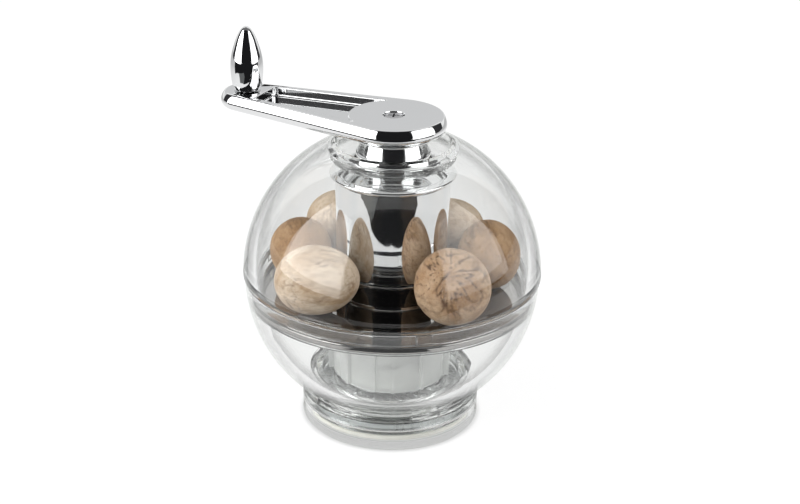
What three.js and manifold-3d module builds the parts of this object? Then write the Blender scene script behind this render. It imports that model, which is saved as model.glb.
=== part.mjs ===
// Nutmeg mill: a clear ball on a clear foot, with a storage ring for whole nutmegs round a chrome column.
// The crank on top turns a square shaft and a sprung press, whose claws turn the nutmeg on a grating plate.
// Millimetres, +Z up. The origin is on the main axis at the underside; at rest the crank points along -X.

import * as THREE from 'three';
import { mergeVertices } from 'three/addons/utils/BufferGeometryUtils.js';
import Module from 'manifold-3d';

const wasm = await Module();
wasm.setup();

// General fits
const GAP = 0.3; // between pieces that seat on or slide in each other
const OVERSHOOT = 0.5; // how far a cutting tool runs past the face it cuts
const BITE = 0.4; // how far a joined feature reaches into the piece that carries it
const ROUND = 40; // facets of a large round piece
const MID_ROUND = 32;
const SMALL_ROUND = 18;

// Ball: the dome above the seam and the bowl below it
const DOME_R = 40;
const DOME_WALL = 3;
const SEAM_STEP = 0.4; // how much smaller the bowl is than the dome
const BOWL_WALL = 3;
const RIM_WALL = 1.7;
const LEDGE_DEPTH = 6; // from the rim down to the step that carries the tray

// Lower lip of the dome, which pushes into the rim, and the keys that stop it turning
const LIP_WALL = 1.5;
const LIP_LENGTH = 4;
const KEY_COUNT = 3;
const KEY_WIDTH = 3.5;
const KEY_HEIGHT = 3.1;
const KEY_PROUD = 0.8;
const KEY_AZIMUTH = -51.4;

// Recess in the top of the dome, where the neck clamps its floor
const RECESS_R = 14.8;
const RECESS_DEPTH = 3.96;
const RECESS_FLOOR = 1.6;

// Foot: bowl foot, grater collar and closing cap share one outside radius
const FOOT_R = 24.2;
const CAP_HEIGHT = 5.8;
const CAP_FLOOR = 2.1;
const CAP_WALL = 2;
const CAP_EDGE = 0.6; // chamfer round the underside
const COLLAR_HEIGHT = 2.1;
const FLANGE_HEIGHT = 2.16; // straight foot of the bowl, below the ball
const LINER_THICK = 0.6;
const LINER_RIM = 0.8; // width of the liner's upstand
const LINER_HEIGHT = 1.2;

// Bayonet between collar and bowl foot
const FLANGE_WALL = 2.8; // bowl foot, outside radius less bore
const NECK_LIP = 1.4; // height of the lip below the groove
const GROOVE_DEPTH = 1.5;
const GROOVE_HEIGHT = 1.8;
const LUG_COUNT = 4;
const LUG_SPAN = 16;
const LUG_HEIGHT = 1.2;
const LUG_AZIMUTH = -69;
const TWIST = 30; // turn from locked to the entry slots
const SLOT_EXTRA = 4; // entry slot beyond the lug, in degrees

// Grater
const SPIGOT_HEIGHT = 4.4; // collar above its outer ring
const COLLAR_WEB = 1.5; // floor between the collar's spigot and its chute
const SPIGOT_WALL = 1.8;
const POCKET_WALL = 1.4; // skirt round the plate
const PLATE_THICK = 0.8;
const PLATE_RIM = 2.2; // full height of the turned-down edge
const TOOTH_RINGS = [5, 10, 16]; // teeth in each ring
const TOOTH_MARGIN = 1.2; // outer teeth to the feed tube's bore
const TOOTH_SIDES = 5;
const TOOTH_HOLE_R = 0.8;
const TOOTH_BASE_R = 1.35;
const TOOTH_TOP_R = 1.05;
const TOOTH_HEIGHT = 0.6;
const RING_THICK = 1;
const RING_WIDTH = 2.6;

// Storage tray with its central neck
const TRAY_FLOOR = 1;
const TRAY_EDGE_WIDTH = 1.2;
const TRAY_EDGE_HEIGHT = 0.7;
const TRAY_NECK_HEIGHT = 6.3; // above the floor
const TRAY_NECK_WALL = 1.4;

// Feed tube under the tray
const TUBE_R = 14.4; // bore, and the bore of the tray's neck
const TUBE_WALL = 1.8;
const TUBE_FLANGE = 2.3;
const TUBE_FLANGE_THICK = 1.4;
const FIN_PROUD = 1.4;
const FIN_THICK = 0.9;
const FIN_COUNT = 10;
const FIN_AZIMUTH = -69.9;
const CHANNEL_WIDTH = 5; // the first and middle fins are pairs this far apart
const FIN_LIFT = 0.8; // above the tube's lower end

// Column, cone and neck
const COLUMN_STEP = 0.6; // column's radius less than the tray neck's
const COLUMN_WALL = 1.3;
const SHOULDER_PROUD = 1.4;
const SHOULDER_HEIGHT = 1.7;
const SHOULDER_EDGE = 0.7;
const CONE_HEIGHT = 4;
const CONE_TOP_R = 10.6;
const PLUG_DEPTH = 1.2; // of the cone's plug into the column
const STUB_R = 7;
const STUB_LENGTH = 5.4; // above the cone
const FLANGE_R = 9.8;
const FLANGE_THICK = 0.9;
const WAIST_R = 8.4;
const FLARE_R = 11.1;
const NECK_HEIGHT = 5.9;
const BUSH_WALL = 1.5;
const BUSH_FLANGE_R = 7;
const BUSH_FLANGE_THICK = 0.9;
const SEAT_CLEAR = 0.9; // round the spring seat, inside the column

// Crank
const ARM_THICK = 4.6;
const ARM_LENGTH = 44.2; // main axis to knob axis
const HUB_R = 13.9;
const END_R = 7.2;
const ARM_SIDE = [[1.35, 1.9, 0], [1, 1.5, 0.2], [0.4, 0.6, 1.3], [0, 0, 2.3], [0, 0, 2.8], [0.5, 0.5, 3.7],
  [1.8, 1.8, ARM_THICK]]; // drawn in at the hub and at the knob end, depth below the top
const POCKET_DEPTH = 2.4;
const POCKET_END = 38.8; // main axis to the far wall
const POCKET_END_HALF = 5.3;
const POCKET_HUB_HALF = 9.5;
const POCKET_HUB_R = 11.8;
const SCREW_HOLE_R = 2.85;
const SCREW_HOLE_DEPTH = 1.4;
const SOCKET_DEPTH = 2.4;
const SCREW_HEAD = 0.9;
const SCREW_SHANK_R = 1.1;
const SCREW_LENGTH = 9;

// Shaft and the stop at its lower end
const SQUARE = 5;
const JOURNAL_R = 3.4;
const THRUST_R = 5;
const THRUST_THICK = 1.2;
const STOP_R = 3.9;
const STOP_THICK = 1;
const STOP_HEAD_R = 2.2;
const STOP_HEAD = 1.1;
const STOP_SHANK_R = 0.9;
const STOP_LENGTH = 7;

// Knob and its pin
const KNOB_HEIGHT = 17.3;
const KNOB_PIN_R = 1.5;
const KNOB_PIN_LENGTH = 9.4; // above the arm
const PIN_HEAD_R = 2.6;
const PIN_HEAD = 1;
const KNOB_STATIONS = [[0, 3.55], [0.4, 3.72], [1.3, 4], [3, 4.25], [5.7, 4.43], [8, 4.32], [10.3, 3.9],
  [12.6, 3.2], [15, 2.1], [16.6, 1]]; // height above the foot, radius

// Press
const PRESS_CLEAR = 0.8; // round the press, inside the feed tube
const PRESS_THICK = 1.8;
const PRESS_WEB = 0.9; // left under the sleeve's bore
const SLEEVE_R = 5.6;
const SLEEVE_LENGTH = 27.3; // above the press
const SLEEVE_LIP = 2.6;
const CLAW_DISC_R = 11;
const CLAW_PLATE_THICK = 0.8;
const CLAW_LENGTH = 3.2;
const CLAW_BASE_R = 1.1;
const CLAW_RINGS = [[3, 4.5, 0], [5, 8.8, 20]]; // count, radius, first azimuth
const CLAW_CLEAR = 0.6; // claw tips above the teeth

// Spring
const WIRE = 1.1;
const COIL_R = 8.6;
const CURLS = 12;
const DEAD_CURLS = 1; // close-wound at each end
const DEAD_PITCH = 1.7;
const CURL_STEPS = 8;
const WIRE_SIDES = 5;

// Nutmegs on the tray: azimuth and distance of the middle, direction of the long axis and half sizes,
// with lengths as shares of the storage ring's middle radius and half width
const NUTMEGS = [
  { azimuth: -110.6, distance: 0.966, turn: 28.6, half: [1, 0.78, 0.844] },
  { azimuth: 151.7, distance: 0.963, turn: 64.6, half: [0.936, 0.835, 0.844] },
  { azimuth: -160.1, distance: 0.94, turn: 118.6, half: [0.881, 0.798, 0.807] },
  { azimuth: -28.1, distance: 0.978, turn: 118.6, half: [0.927, 0.89, 0.899] },
  { azimuth: 76, distance: 0.966, turn: 166, half: [0.954, 0.807, 0.761] },
  { azimuth: 26.4, distance: 0.981, turn: 118.6, half: [0.954, 0.798, 0.844] },
];
const NUTMEG_TAPER = 0.08; // one end is this much slimmer

// Heights and radii that follow from the sizes above
const rad = THREE.MathUtils.degToRad;
const across = (radius, height) => Math.sqrt(radius * radius - height * height);
const bowlR = DOME_R - SEAM_STEP;
const rimBoreR = bowlR - RIM_WALL;
const lipR = rimBoreR - GAP;
const collarBottomZ = CAP_HEIGHT + GAP;
const collarTopZ = collarBottomZ + COLLAR_HEIGHT;
const bowlBottomZ = collarTopZ + GAP;
const ballZ = bowlBottomZ + FLANGE_HEIGHT + across(bowlR, FOOT_R); // centre of both shells
const seamZ = ballZ + GAP; // lower edge of the dome
const ledgeZ = ballZ - LEDGE_DEPTH;
const footBoreR = FOOT_R - FLANGE_WALL; // of the bowl foot
const spigotTopZ = collarTopZ + SPIGOT_HEIGHT;
const grooveBottomZ = bowlBottomZ + NECK_LIP;
const skirtR = FOOT_R - CAP_WALL - GAP;
const plateR = skirtR - POCKET_WALL - GAP;
const linerTopZ = CAP_FLOOR + GAP + LINER_HEIGHT;
const skirtBottomZ = linerTopZ + GAP;
const ringTopZ = skirtBottomZ + RING_THICK;
const plateTopZ = ringTopZ + GAP + PLATE_RIM;
const trayBottomZ = ledgeZ + GAP;
const trayTopZ = trayBottomZ + TRAY_FLOOR;
const trayNeckTopZ = trayTopZ + TRAY_NECK_HEIGHT;
const trayNeckR = TUBE_R + TRAY_NECK_WALL;
const columnR = trayNeckR - COLUMN_STEP;
const columnBottomZ = trayNeckTopZ + GAP;
const recessFloorZ = ballZ + across(DOME_R, RECESS_R) - RECESS_DEPTH;
const recessUnderZ = recessFloorZ - RECESS_FLOOR;
const coneTopZ = recessUnderZ - GAP;
const coneBottomZ = coneTopZ - CONE_HEIGHT;
const columnTopZ = coneBottomZ - GAP;
const shoulderR = columnR + SHOULDER_PROUD;
const plugR = columnR - COLUMN_WALL - GAP;
const plugBottomZ = coneBottomZ - GAP - PLUG_DEPTH;
const stubTopZ = coneTopZ + STUB_LENGTH;
const bushR = JOURNAL_R + GAP + BUSH_WALL;
const neckBottomZ = recessFloorZ + GAP;
const neckTopZ = neckBottomZ + NECK_HEIGHT;
const seatR = columnR - COLUMN_WALL - SEAT_CLEAR;
const bushFlangeTopZ = plugBottomZ - GAP;
const bushBottomZ = bushFlangeTopZ - BUSH_FLANGE_THICK;
const thrustTopZ = bushBottomZ - GAP;
const thrustBottomZ = thrustTopZ - THRUST_THICK;
const armBottomZ = neckTopZ + GAP;
const armTopZ = armBottomZ + ARM_THICK;
const clawTipZ = plateTopZ + TOOTH_HEIGHT + CLAW_CLEAR;
const clawPlateBottomZ = clawTipZ + CLAW_LENGTH;
const pressBottomZ = clawPlateBottomZ + CLAW_PLATE_THICK + GAP;
const pressTopZ = pressBottomZ + PRESS_THICK;
const pressR = TUBE_R - PRESS_CLEAR;
const sleeveTopZ = pressTopZ + SLEEVE_LENGTH;
const sleeveBoreR = STOP_R + 0.4;
const shaftBottomZ = sleeveTopZ - SLEEVE_LIP;
const stopTopZ = shaftBottomZ - GAP;
const stopBottomZ = stopTopZ - STOP_THICK;
const ringMidR = (trayNeckR + lipR) / 2; // storage ring between the tray's neck and the dome's lip
const ringHalf = (lipR - trayNeckR) / 2;

// Geometry helpers

function tidy(geometry) {
  const bare = geometry.clone();
  bare.deleteAttribute('normal');
  bare.deleteAttribute('uv');
  bare.clearGroups();
  const merged = mergeVertices(bare, 1e-4);
  const corners = merged.index.array;
  const kept = [];
  for (let i = 0; i < corners.length; i += 3) {
    const [a, b, c] = [corners[i], corners[i + 1], corners[i + 2]];
    if (a !== b && b !== c && c !== a) kept.push(a, b, c);
  }
  merged.setIndex(kept);
  return merged;
}

function toManifold(geometry) {
  const closed = tidy(geometry);
  return new wasm.Manifold(new wasm.Mesh({
    numProp: 3,
    vertProperties: new Float32Array(closed.attributes.position.array),
    triVerts: new Uint32Array(closed.index.array),
  }));
}

function fromManifold(solid) {
  const mesh = solid.getMesh();
  const geometry = new THREE.BufferGeometry();
  geometry.setAttribute('position', new THREE.BufferAttribute(new Float32Array(mesh.vertProperties), 3));
  geometry.setIndex(Array.from(mesh.triVerts));
  return geometry;
}

// Joins the geometries in adds to base, then cuts those in cuts away
function shaped(base, adds, cuts = []) {
  let solid = toManifold(base);
  for (const extra of adds) solid = solid.add(toManifold(extra));
  for (const tool of cuts) solid = solid.subtract(toManifold(tool));
  return fromManifold(solid);
}

// Revolves a profile of [radius, z] corners, listed with the solid on its left
function turned(profile, facets = ROUND) {
  const corners = profile.map(([r, z]) => new THREE.Vector2(r, z));
  if (profile[0][0] > 0) corners.push(corners[0].clone());
  const geometry = new THREE.LatheGeometry(corners, facets);
  geometry.rotateX(Math.PI / 2);
  return geometry;
}

function arc(centreZ, radius, from, to, steps) {
  const points = [];
  for (let i = 0; i <= steps; i += 1) {
    const angle = from + ((to - from) * i) / steps;
    points.push([radius * Math.cos(angle), centreZ + radius * Math.sin(angle)]);
  }
  return points;
}

function rod(radius, bottom, top, facets = SMALL_ROUND, topRadius = radius) {
  const geometry = new THREE.CylinderGeometry(topRadius, radius, top - bottom, facets);
  geometry.rotateX(Math.PI / 2);
  geometry.translate(0, 0, (bottom + top) / 2);
  return geometry;
}

function block(sizeX, sizeY, bottom, top) {
  const geometry = new THREE.BoxGeometry(sizeX, sizeY, top - bottom);
  geometry.translate(0, 0, (bottom + top) / 2);
  return geometry;
}

function extruded(shape, bottom, top, curveSegments = 4) {
  const options = { depth: top - bottom, bevelEnabled: false, curveSegments };
  const geometry = new THREE.ExtrudeGeometry(shape, options);
  geometry.translate(0, 0, bottom);
  return geometry;
}

// Part of a ring, centred on an azimuth in degrees
function sector(innerR, outerR, azimuth, span, bottom, top) {
  const shape = new THREE.Shape();
  const from = rad(azimuth - span / 2);
  const to = rad(azimuth + span / 2);
  shape.absarc(0, 0, outerR, from, to, false);
  shape.absarc(0, 0, innerR, to, from, true);
  return extruded(shape, bottom, top);
}

function evenly(count, first, make) {
  return Array.from({ length: count }, (_, i) => make(first + (360 * i) / count, i));
}

// Materials

function finish(color, roughness, metalness, opacity = 1) {
  return new THREE.MeshStandardMaterial({ color, roughness, metalness, transparent: opacity < 1, opacity });
}

const clearPlastic = () => finish(0xe9edec, 0.05, 0, 0.28);
const satinPlastic = () => finish(0xdedfde, 0.35, 0, 0.6);
const chrome = () => finish(0xc9cacc, 0.06, 1);
const steel = () => finish(0x8d8f90, 0.3, 1);
const creamPlastic = () => finish(0xe6e3da, 0.45, 0, 0.9);
const whitePlastic = () => finish(0xe8e8e4, 0.5, 0);
const nutmegSkin = () => finish(0xc4a483, 0.75, 0);

// Ball

function domeShell() {
  const innerR = DOME_R - DOME_WALL;
  const chamfer = 1;
  const underAngle = Math.asin((recessUnderZ + chamfer - ballZ) / innerR);
  const lipInnerR = lipR - LIP_WALL;
  const body = turned([
    [lipInnerR, seamZ - LIP_LENGTH], [lipR, seamZ - LIP_LENGTH], [lipR, seamZ],
    ...arc(ballZ, DOME_R, Math.asin((seamZ - ballZ) / DOME_R), Math.acos(RECESS_R / DOME_R), 9),
    [RECESS_R, recessFloorZ], [STUB_R + GAP, recessFloorZ], [STUB_R + GAP, recessUnderZ],
    [innerR * Math.cos(underAngle) - chamfer, recessUnderZ],
    ...arc(ballZ, innerR, underAngle, Math.asin((seamZ - ballZ) / innerR), 7),
    [lipInnerR, seamZ - (innerR - lipInnerR)],
  ]);
  const keys = evenly(KEY_COUNT, KEY_AZIMUTH, (azimuth) => {
    const key = block(KEY_PROUD + BITE, KEY_WIDTH, seamZ - KEY_HEIGHT, seamZ + BITE);
    key.translate(lipR + (KEY_PROUD - BITE) / 2, 0, 0);
    return key.rotateZ(rad(azimuth));
  });
  return shaped(body, keys);
}

function bowlShell() {
  const innerR = bowlR - BOWL_WALL;
  const angleAt = (radius, z) => Math.asin((z - ballZ) / radius);
  const footJoinZ = ballZ - across(bowlR, FOOT_R);
  const boreTopZ = ballZ - across(innerR, footBoreR);
  const body = turned([
    [footBoreR, bowlBottomZ], [FOOT_R, bowlBottomZ],
    ...arc(ballZ, bowlR, angleAt(bowlR, footJoinZ), angleAt(bowlR, seamZ - GAP), 8),
    [rimBoreR, seamZ - GAP], [rimBoreR, ledgeZ],
    ...arc(ballZ, innerR, angleAt(innerR, ledgeZ), angleAt(innerR, boreTopZ), 6),
    [footBoreR, grooveBottomZ + GROOVE_HEIGHT], [footBoreR + GROOVE_DEPTH, grooveBottomZ + GROOVE_HEIGHT],
    [footBoreR + GROOVE_DEPTH, grooveBottomZ], [footBoreR, grooveBottomZ],
  ]);
  const keyways = evenly(KEY_COUNT, KEY_AZIMUTH, (azimuth) => {
    const depth = KEY_PROUD + GAP;
    const tool = block(depth + OVERSHOOT, KEY_WIDTH + 2 * GAP, seamZ - KEY_HEIGHT - GAP, seamZ + OVERSHOOT);
    tool.translate(lipR + (depth - OVERSHOOT) / 2, 0, 0);
    return tool.rotateZ(rad(azimuth));
  });
  const grooveR = footBoreR + GROOVE_DEPTH;
  const entrySpan = LUG_SPAN + SLOT_EXTRA;
  const entries = evenly(LUG_COUNT, LUG_AZIMUTH + TWIST, (azimuth) => sector(footBoreR - OVERSHOOT, grooveR,
    azimuth, entrySpan, bowlBottomZ - OVERSHOOT, grooveBottomZ + OVERSHOOT));
  return shaped(body, [], [...keyways, ...entries]);
}

function storageTray() {
  return turned([
    [TUBE_R, trayBottomZ], [lipR, trayBottomZ], [lipR, trayTopZ + TRAY_EDGE_HEIGHT],
    [lipR - TRAY_EDGE_WIDTH, trayTopZ + TRAY_EDGE_HEIGHT], [lipR - TRAY_EDGE_WIDTH, trayTopZ],
    [trayNeckR, trayTopZ], [trayNeckR, trayNeckTopZ], [TUBE_R, trayNeckTopZ],
  ]);
}

function feedTube() {
  const outerR = TUBE_R + TUBE_WALL;
  const topZ = trayBottomZ - GAP;
  const bottomZ = spigotTopZ + GAP;
  const flangeR = outerR + TUBE_FLANGE;
  const flangeZ = topZ - TUBE_FLANGE_THICK;
  const body = turned([
    [TUBE_R, bottomZ], [outerR, bottomZ], [outerR, flangeZ],
    [flangeR, flangeZ], [flangeR, topZ], [TUBE_R, topZ],
  ]);
  const fin = (azimuth, sideways) => {
    const plate = block(FIN_PROUD + BITE, FIN_THICK, bottomZ + FIN_LIFT, flangeZ + BITE);
    plate.translate(outerR + (FIN_PROUD - BITE) / 2, sideways, 0);
    return plate.rotateZ(rad(azimuth));
  };
  const fins = evenly(FIN_COUNT, FIN_AZIMUTH, (azimuth, i) => (i % (FIN_COUNT / 2) === 0
    ? [fin(azimuth, -CHANNEL_WIDTH / 2), fin(azimuth, CHANNEL_WIDTH / 2)] : [fin(azimuth, 0)])).flat();
  return shaped(body, fins);
}

// Foot

function graterCollar() {
  const pocketR = plateR + GAP;
  const spigotR = footBoreR - GAP;
  const chuteR = TUBE_R + TUBE_WALL;
  const shelfZ = plateTopZ + GAP;
  const webTopZ = shelfZ + COLLAR_WEB;
  const body = turned([
    [pocketR, skirtBottomZ], [skirtR, skirtBottomZ], [skirtR, collarBottomZ], [FOOT_R, collarBottomZ],
    [FOOT_R, collarTopZ], [spigotR, collarTopZ], [spigotR, spigotTopZ],
    [spigotR - SPIGOT_WALL, spigotTopZ], [spigotR - SPIGOT_WALL, webTopZ],
    [chuteR, webTopZ], [chuteR, spigotTopZ], [TUBE_R, spigotTopZ], [TUBE_R, shelfZ], [pocketR, shelfZ],
  ]);
  const lugR = footBoreR + GROOVE_DEPTH - GAP;
  const lugZ = grooveBottomZ + (GROOVE_HEIGHT - LUG_HEIGHT) / 2;
  const lugs = evenly(LUG_COUNT, LUG_AZIMUTH, (azimuth) => sector(spigotR - BITE, lugR, azimuth, LUG_SPAN,
    lugZ, lugZ + LUG_HEIGHT));
  return shaped(body, lugs);
}

function graterPlate() {
  const body = turned([
    [0, plateTopZ - PLATE_THICK], [plateR - PLATE_THICK, plateTopZ - PLATE_THICK],
    [plateR - PLATE_THICK, plateTopZ - PLATE_RIM], [plateR, plateTopZ - PLATE_RIM], [plateR, plateTopZ],
    [0, plateTopZ],
  ]);
  const craters = [];
  const holes = [];
  TOOTH_RINGS.forEach((count, ring) => {
    const radius = ((TUBE_R - TOOTH_MARGIN - TOOTH_BASE_R) * (ring + 1)) / TOOTH_RINGS.length;
    evenly(count, (180 / count) * ring, (azimuth) => {
      const tipZ = plateTopZ + TOOTH_HEIGHT;
      const crater = rod(TOOTH_BASE_R, plateTopZ - BITE, tipZ, TOOTH_SIDES, TOOTH_TOP_R);
      const underZ = plateTopZ - PLATE_THICK;
      const hole = rod(TOOTH_HOLE_R, underZ - OVERSHOOT, tipZ + OVERSHOOT, TOOTH_SIDES);
      for (const [list, piece] of [[craters, crater], [holes, hole]]) {
        list.push(piece.translate(radius, 0, 0).rotateZ(rad(azimuth)));
      }
      return radius;
    });
  });
  return shaped(body, craters, holes);
}

function plateRing() {
  return turned([
    [plateR - RING_WIDTH, skirtBottomZ], [plateR, skirtBottomZ], [plateR, ringTopZ],
    [plateR - RING_WIDTH, ringTopZ],
  ]);
}

function baseCap() {
  const innerR = FOOT_R - CAP_WALL;
  return turned([
    [0, 0], [FOOT_R - CAP_EDGE, 0], [FOOT_R, CAP_EDGE], [FOOT_R, CAP_HEIGHT], [innerR, CAP_HEIGHT],
    [innerR, CAP_FLOOR], [0, CAP_FLOOR],
  ]);
}

function capLiner() {
  const bottomZ = CAP_FLOOR + GAP;
  const outerR = FOOT_R - CAP_WALL - 1.3 * GAP;
  return turned([
    [0, bottomZ], [outerR, bottomZ], [outerR, linerTopZ], [outerR - LINER_RIM, linerTopZ],
    [outerR - LINER_RIM, bottomZ + LINER_THICK], [0, bottomZ + LINER_THICK],
  ]);
}

// Column and neck

function columnTube() {
  const boreR = columnR - COLUMN_WALL;
  return turned([
    [boreR, columnBottomZ], [columnR, columnBottomZ], [columnR, columnTopZ], [boreR, columnTopZ],
  ], MID_ROUND);
}

function columnCap() {
  const boreR = bushR + GAP;
  const shoulderTopZ = coneBottomZ + SHOULDER_HEIGHT;
  const cone = new THREE.QuadraticBezierCurve(
    new THREE.Vector2(shoulderR - SHOULDER_EDGE * 2, shoulderTopZ),
    new THREE.Vector2(CONE_TOP_R + 1.2, shoulderTopZ + 0.9), new THREE.Vector2(CONE_TOP_R, coneTopZ));
  return turned([
    [boreR, plugBottomZ], [plugR, plugBottomZ], [plugR, coneBottomZ],
    [shoulderR - SHOULDER_EDGE, coneBottomZ],
    [shoulderR, coneBottomZ + SHOULDER_EDGE / 2], [shoulderR, shoulderTopZ - SHOULDER_EDGE],
    ...cone.getPoints(3).map((p) => [p.x, p.y]),
    [STUB_R, coneTopZ], [STUB_R, stubTopZ], [boreR, stubTopZ],
  ], MID_ROUND);
}

function neckCollar() {
  const flangeTopZ = neckBottomZ + FLANGE_THICK;
  const roofZ = stubTopZ + GAP;
  const flare = new THREE.QuadraticBezierCurve(new THREE.Vector2(WAIST_R, roofZ - 0.8),
    new THREE.Vector2(WAIST_R + 0.3, neckTopZ - 1), new THREE.Vector2(FLARE_R, neckTopZ - 0.5));
  return turned([
    [STUB_R + GAP, neckBottomZ], [FLANGE_R, neckBottomZ], [FLANGE_R, flangeTopZ],
    [WAIST_R + 0.2, flangeTopZ + 0.5],
    ...flare.getPoints(4).map((p) => [p.x, p.y]),
    [FLARE_R, neckTopZ], [bushR + GAP, neckTopZ], [bushR + GAP, roofZ], [STUB_R + GAP, roofZ],
  ], MID_ROUND);
}

function neckBush() {
  const boreR = JOURNAL_R + GAP;
  return turned([
    [boreR, bushBottomZ], [BUSH_FLANGE_R, bushBottomZ], [BUSH_FLANGE_R, bushFlangeTopZ],
    [bushR, bushFlangeTopZ],
    [bushR, neckTopZ - GAP], [boreR, neckTopZ - GAP],
  ], SMALL_ROUND);
}

function springSeat() {
  return turned([
    [BUSH_FLANGE_R + GAP, bushBottomZ], [seatR, bushBottomZ], [seatR, bushFlangeTopZ],
    [BUSH_FLANGE_R + GAP, bushFlangeTopZ],
  ], MID_ROUND);
}

// Crank

// Closed body through rings that all have the same number of corners, lowest ring first
function lofted(rings) {
  const count = rings[0].length;
  const position = rings.flat(2);
  const index = [];
  rings.slice(1).forEach((_, level) => {
    for (let i = 0; i < count; i += 1) {
      const j = (i + 1) % count;
      const [a, b] = [level * count + i, level * count + j];
      index.push(a, b, b + count, a, b + count, a + count);
    }
  });
  const top = (rings.length - 1) * count;
  for (let i = 1; i < count - 1; i += 1) {
    index.push(0, i + 1, i, top, top + i, top + i + 1);
  }
  const geometry = new THREE.BufferGeometry();
  geometry.setAttribute('position', new THREE.Float32BufferAttribute(position, 3));
  geometry.setIndex(index);
  return geometry;
}

// Outline round the hub and the knob end, drawn in at each of them, at height z
function armRing(hubInset, endInset, z) {
  const hubR = HUB_R - hubInset;
  const endR = END_R - endInset;
  const lean = Math.asin((hubR - endR) / ARM_LENGTH);
  const ring = [];
  const bow = (centreX, radius, from, to, steps) => {
    for (let i = 0; i <= steps; i += 1) {
      const angle = from + ((to - from) * i) / steps;
      ring.push([centreX + radius * Math.cos(angle), radius * Math.sin(angle), z]);
    }
  };
  bow(0, hubR, -Math.PI / 2 - lean, Math.PI / 2 + lean, 20);
  bow(-ARM_LENGTH, endR, Math.PI / 2 + lean, 1.5 * Math.PI - lean, 10);
  return ring;
}

function crankArm() {
  const rings = ARM_SIDE.map(([atHub, atEnd, depth]) => armRing(atHub, atEnd, armTopZ - depth)).reverse();
  const pocket = new THREE.Shape();
  const hubAngle = Math.asin(POCKET_HUB_HALF / POCKET_HUB_R);
  pocket.moveTo(-POCKET_HUB_R * Math.cos(hubAngle), POCKET_HUB_HALF);
  pocket.lineTo(-POCKET_END, POCKET_END_HALF);
  pocket.lineTo(-POCKET_END, -POCKET_END_HALF);
  pocket.lineTo(-POCKET_HUB_R * Math.cos(hubAngle), -POCKET_HUB_HALF);
  pocket.absarc(0, 0, POCKET_HUB_R, Math.PI + hubAngle, Math.PI - hubAngle, true);
  const socket = SQUARE + 2 * GAP;
  const atKnob = (geometry) => geometry.translate(-ARM_LENGTH, 0, 0);
  return shaped(lofted(rings), [], [
    extruded(pocket, armTopZ - POCKET_DEPTH, armTopZ + OVERSHOOT, 10),
    rod(SCREW_HOLE_R, armTopZ - SCREW_HOLE_DEPTH, armTopZ + OVERSHOOT),
    rod(SCREW_SHANK_R + GAP, armBottomZ, armTopZ),
    block(socket, socket, armBottomZ - OVERSHOOT, armBottomZ + SOCKET_DEPTH),
    atKnob(rod(KNOB_PIN_R + GAP, armBottomZ, armTopZ + OVERSHOOT)),
    atKnob(rod(PIN_HEAD_R + GAP, armBottomZ - OVERSHOOT, armBottomZ + PIN_HEAD + 2 * GAP)),
  ]);
}

function crankScrew() {
  const headBottomZ = armTopZ - SCREW_HOLE_DEPTH + GAP;
  return turned([
    [0, headBottomZ - SCREW_LENGTH], [SCREW_SHANK_R, headBottomZ - SCREW_LENGTH],
    [SCREW_SHANK_R, headBottomZ],
    [SCREW_HOLE_R - GAP, headBottomZ], [SCREW_HOLE_R - GAP, headBottomZ + SCREW_HEAD * 0.7],
    [SCREW_HOLE_R * 0.5, headBottomZ + SCREW_HEAD], [0, headBottomZ + SCREW_HEAD],
  ], SMALL_ROUND);
}

function driveShaft() {
  const topZ = armBottomZ + SOCKET_DEPTH - GAP;
  const holeDepth = SCREW_LENGTH;
  return shaped(rod(JOURNAL_R, thrustTopZ - BITE, armBottomZ - GAP), [
    rod(THRUST_R, thrustBottomZ, thrustTopZ),
    block(SQUARE, SQUARE, shaftBottomZ, thrustTopZ - BITE),
    block(SQUARE, SQUARE, armBottomZ - GAP - BITE, topZ),
  ], [
    rod(SCREW_SHANK_R + GAP, topZ - holeDepth, topZ + OVERSHOOT, 10),
    rod(STOP_SHANK_R + GAP, shaftBottomZ - OVERSHOOT, shaftBottomZ + STOP_LENGTH, 10),
  ]);
}

function stopWasher() {
  const boreR = STOP_SHANK_R + GAP;
  return turned([
    [boreR, stopBottomZ], [STOP_R, stopBottomZ], [STOP_R, stopTopZ], [boreR, stopTopZ],
  ], SMALL_ROUND);
}

function stopScrew() {
  const headTopZ = stopBottomZ - GAP;
  const topZ = headTopZ + STOP_LENGTH;
  return turned([
    [0, headTopZ - STOP_HEAD], [STOP_HEAD_R, headTopZ - STOP_HEAD], [STOP_HEAD_R, headTopZ],
    [STOP_SHANK_R, headTopZ], [STOP_SHANK_R, topZ], [0, topZ],
  ], SMALL_ROUND);
}

function knobPin() {
  const headBottomZ = armBottomZ + GAP;
  const headTopZ = headBottomZ + PIN_HEAD;
  const topZ = armTopZ + KNOB_PIN_LENGTH;
  return turned([
    [0, headBottomZ], [PIN_HEAD_R, headBottomZ], [PIN_HEAD_R, headTopZ], [KNOB_PIN_R, headTopZ],
    [KNOB_PIN_R, topZ], [0, topZ],
  ], SMALL_ROUND).translate(-ARM_LENGTH, 0, 0);
}

function crankKnob() {
  const footZ = armTopZ + GAP;
  const boreR = KNOB_PIN_R + GAP;
  const boreTopZ = armTopZ + KNOB_PIN_LENGTH + GAP;
  const stations = KNOB_STATIONS.map(([height, radius]) => new THREE.Vector2(radius, footZ + height));
  const side = new THREE.SplineCurve(stations);
  return turned([
    [0, boreTopZ], [boreR, boreTopZ], [boreR, footZ],
    ...side.getPoints(12).map((p) => [p.x, p.y]),
    [0, footZ + KNOB_HEIGHT],
  ], 24).translate(-ARM_LENGTH, 0, 0);
}

// Press

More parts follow.
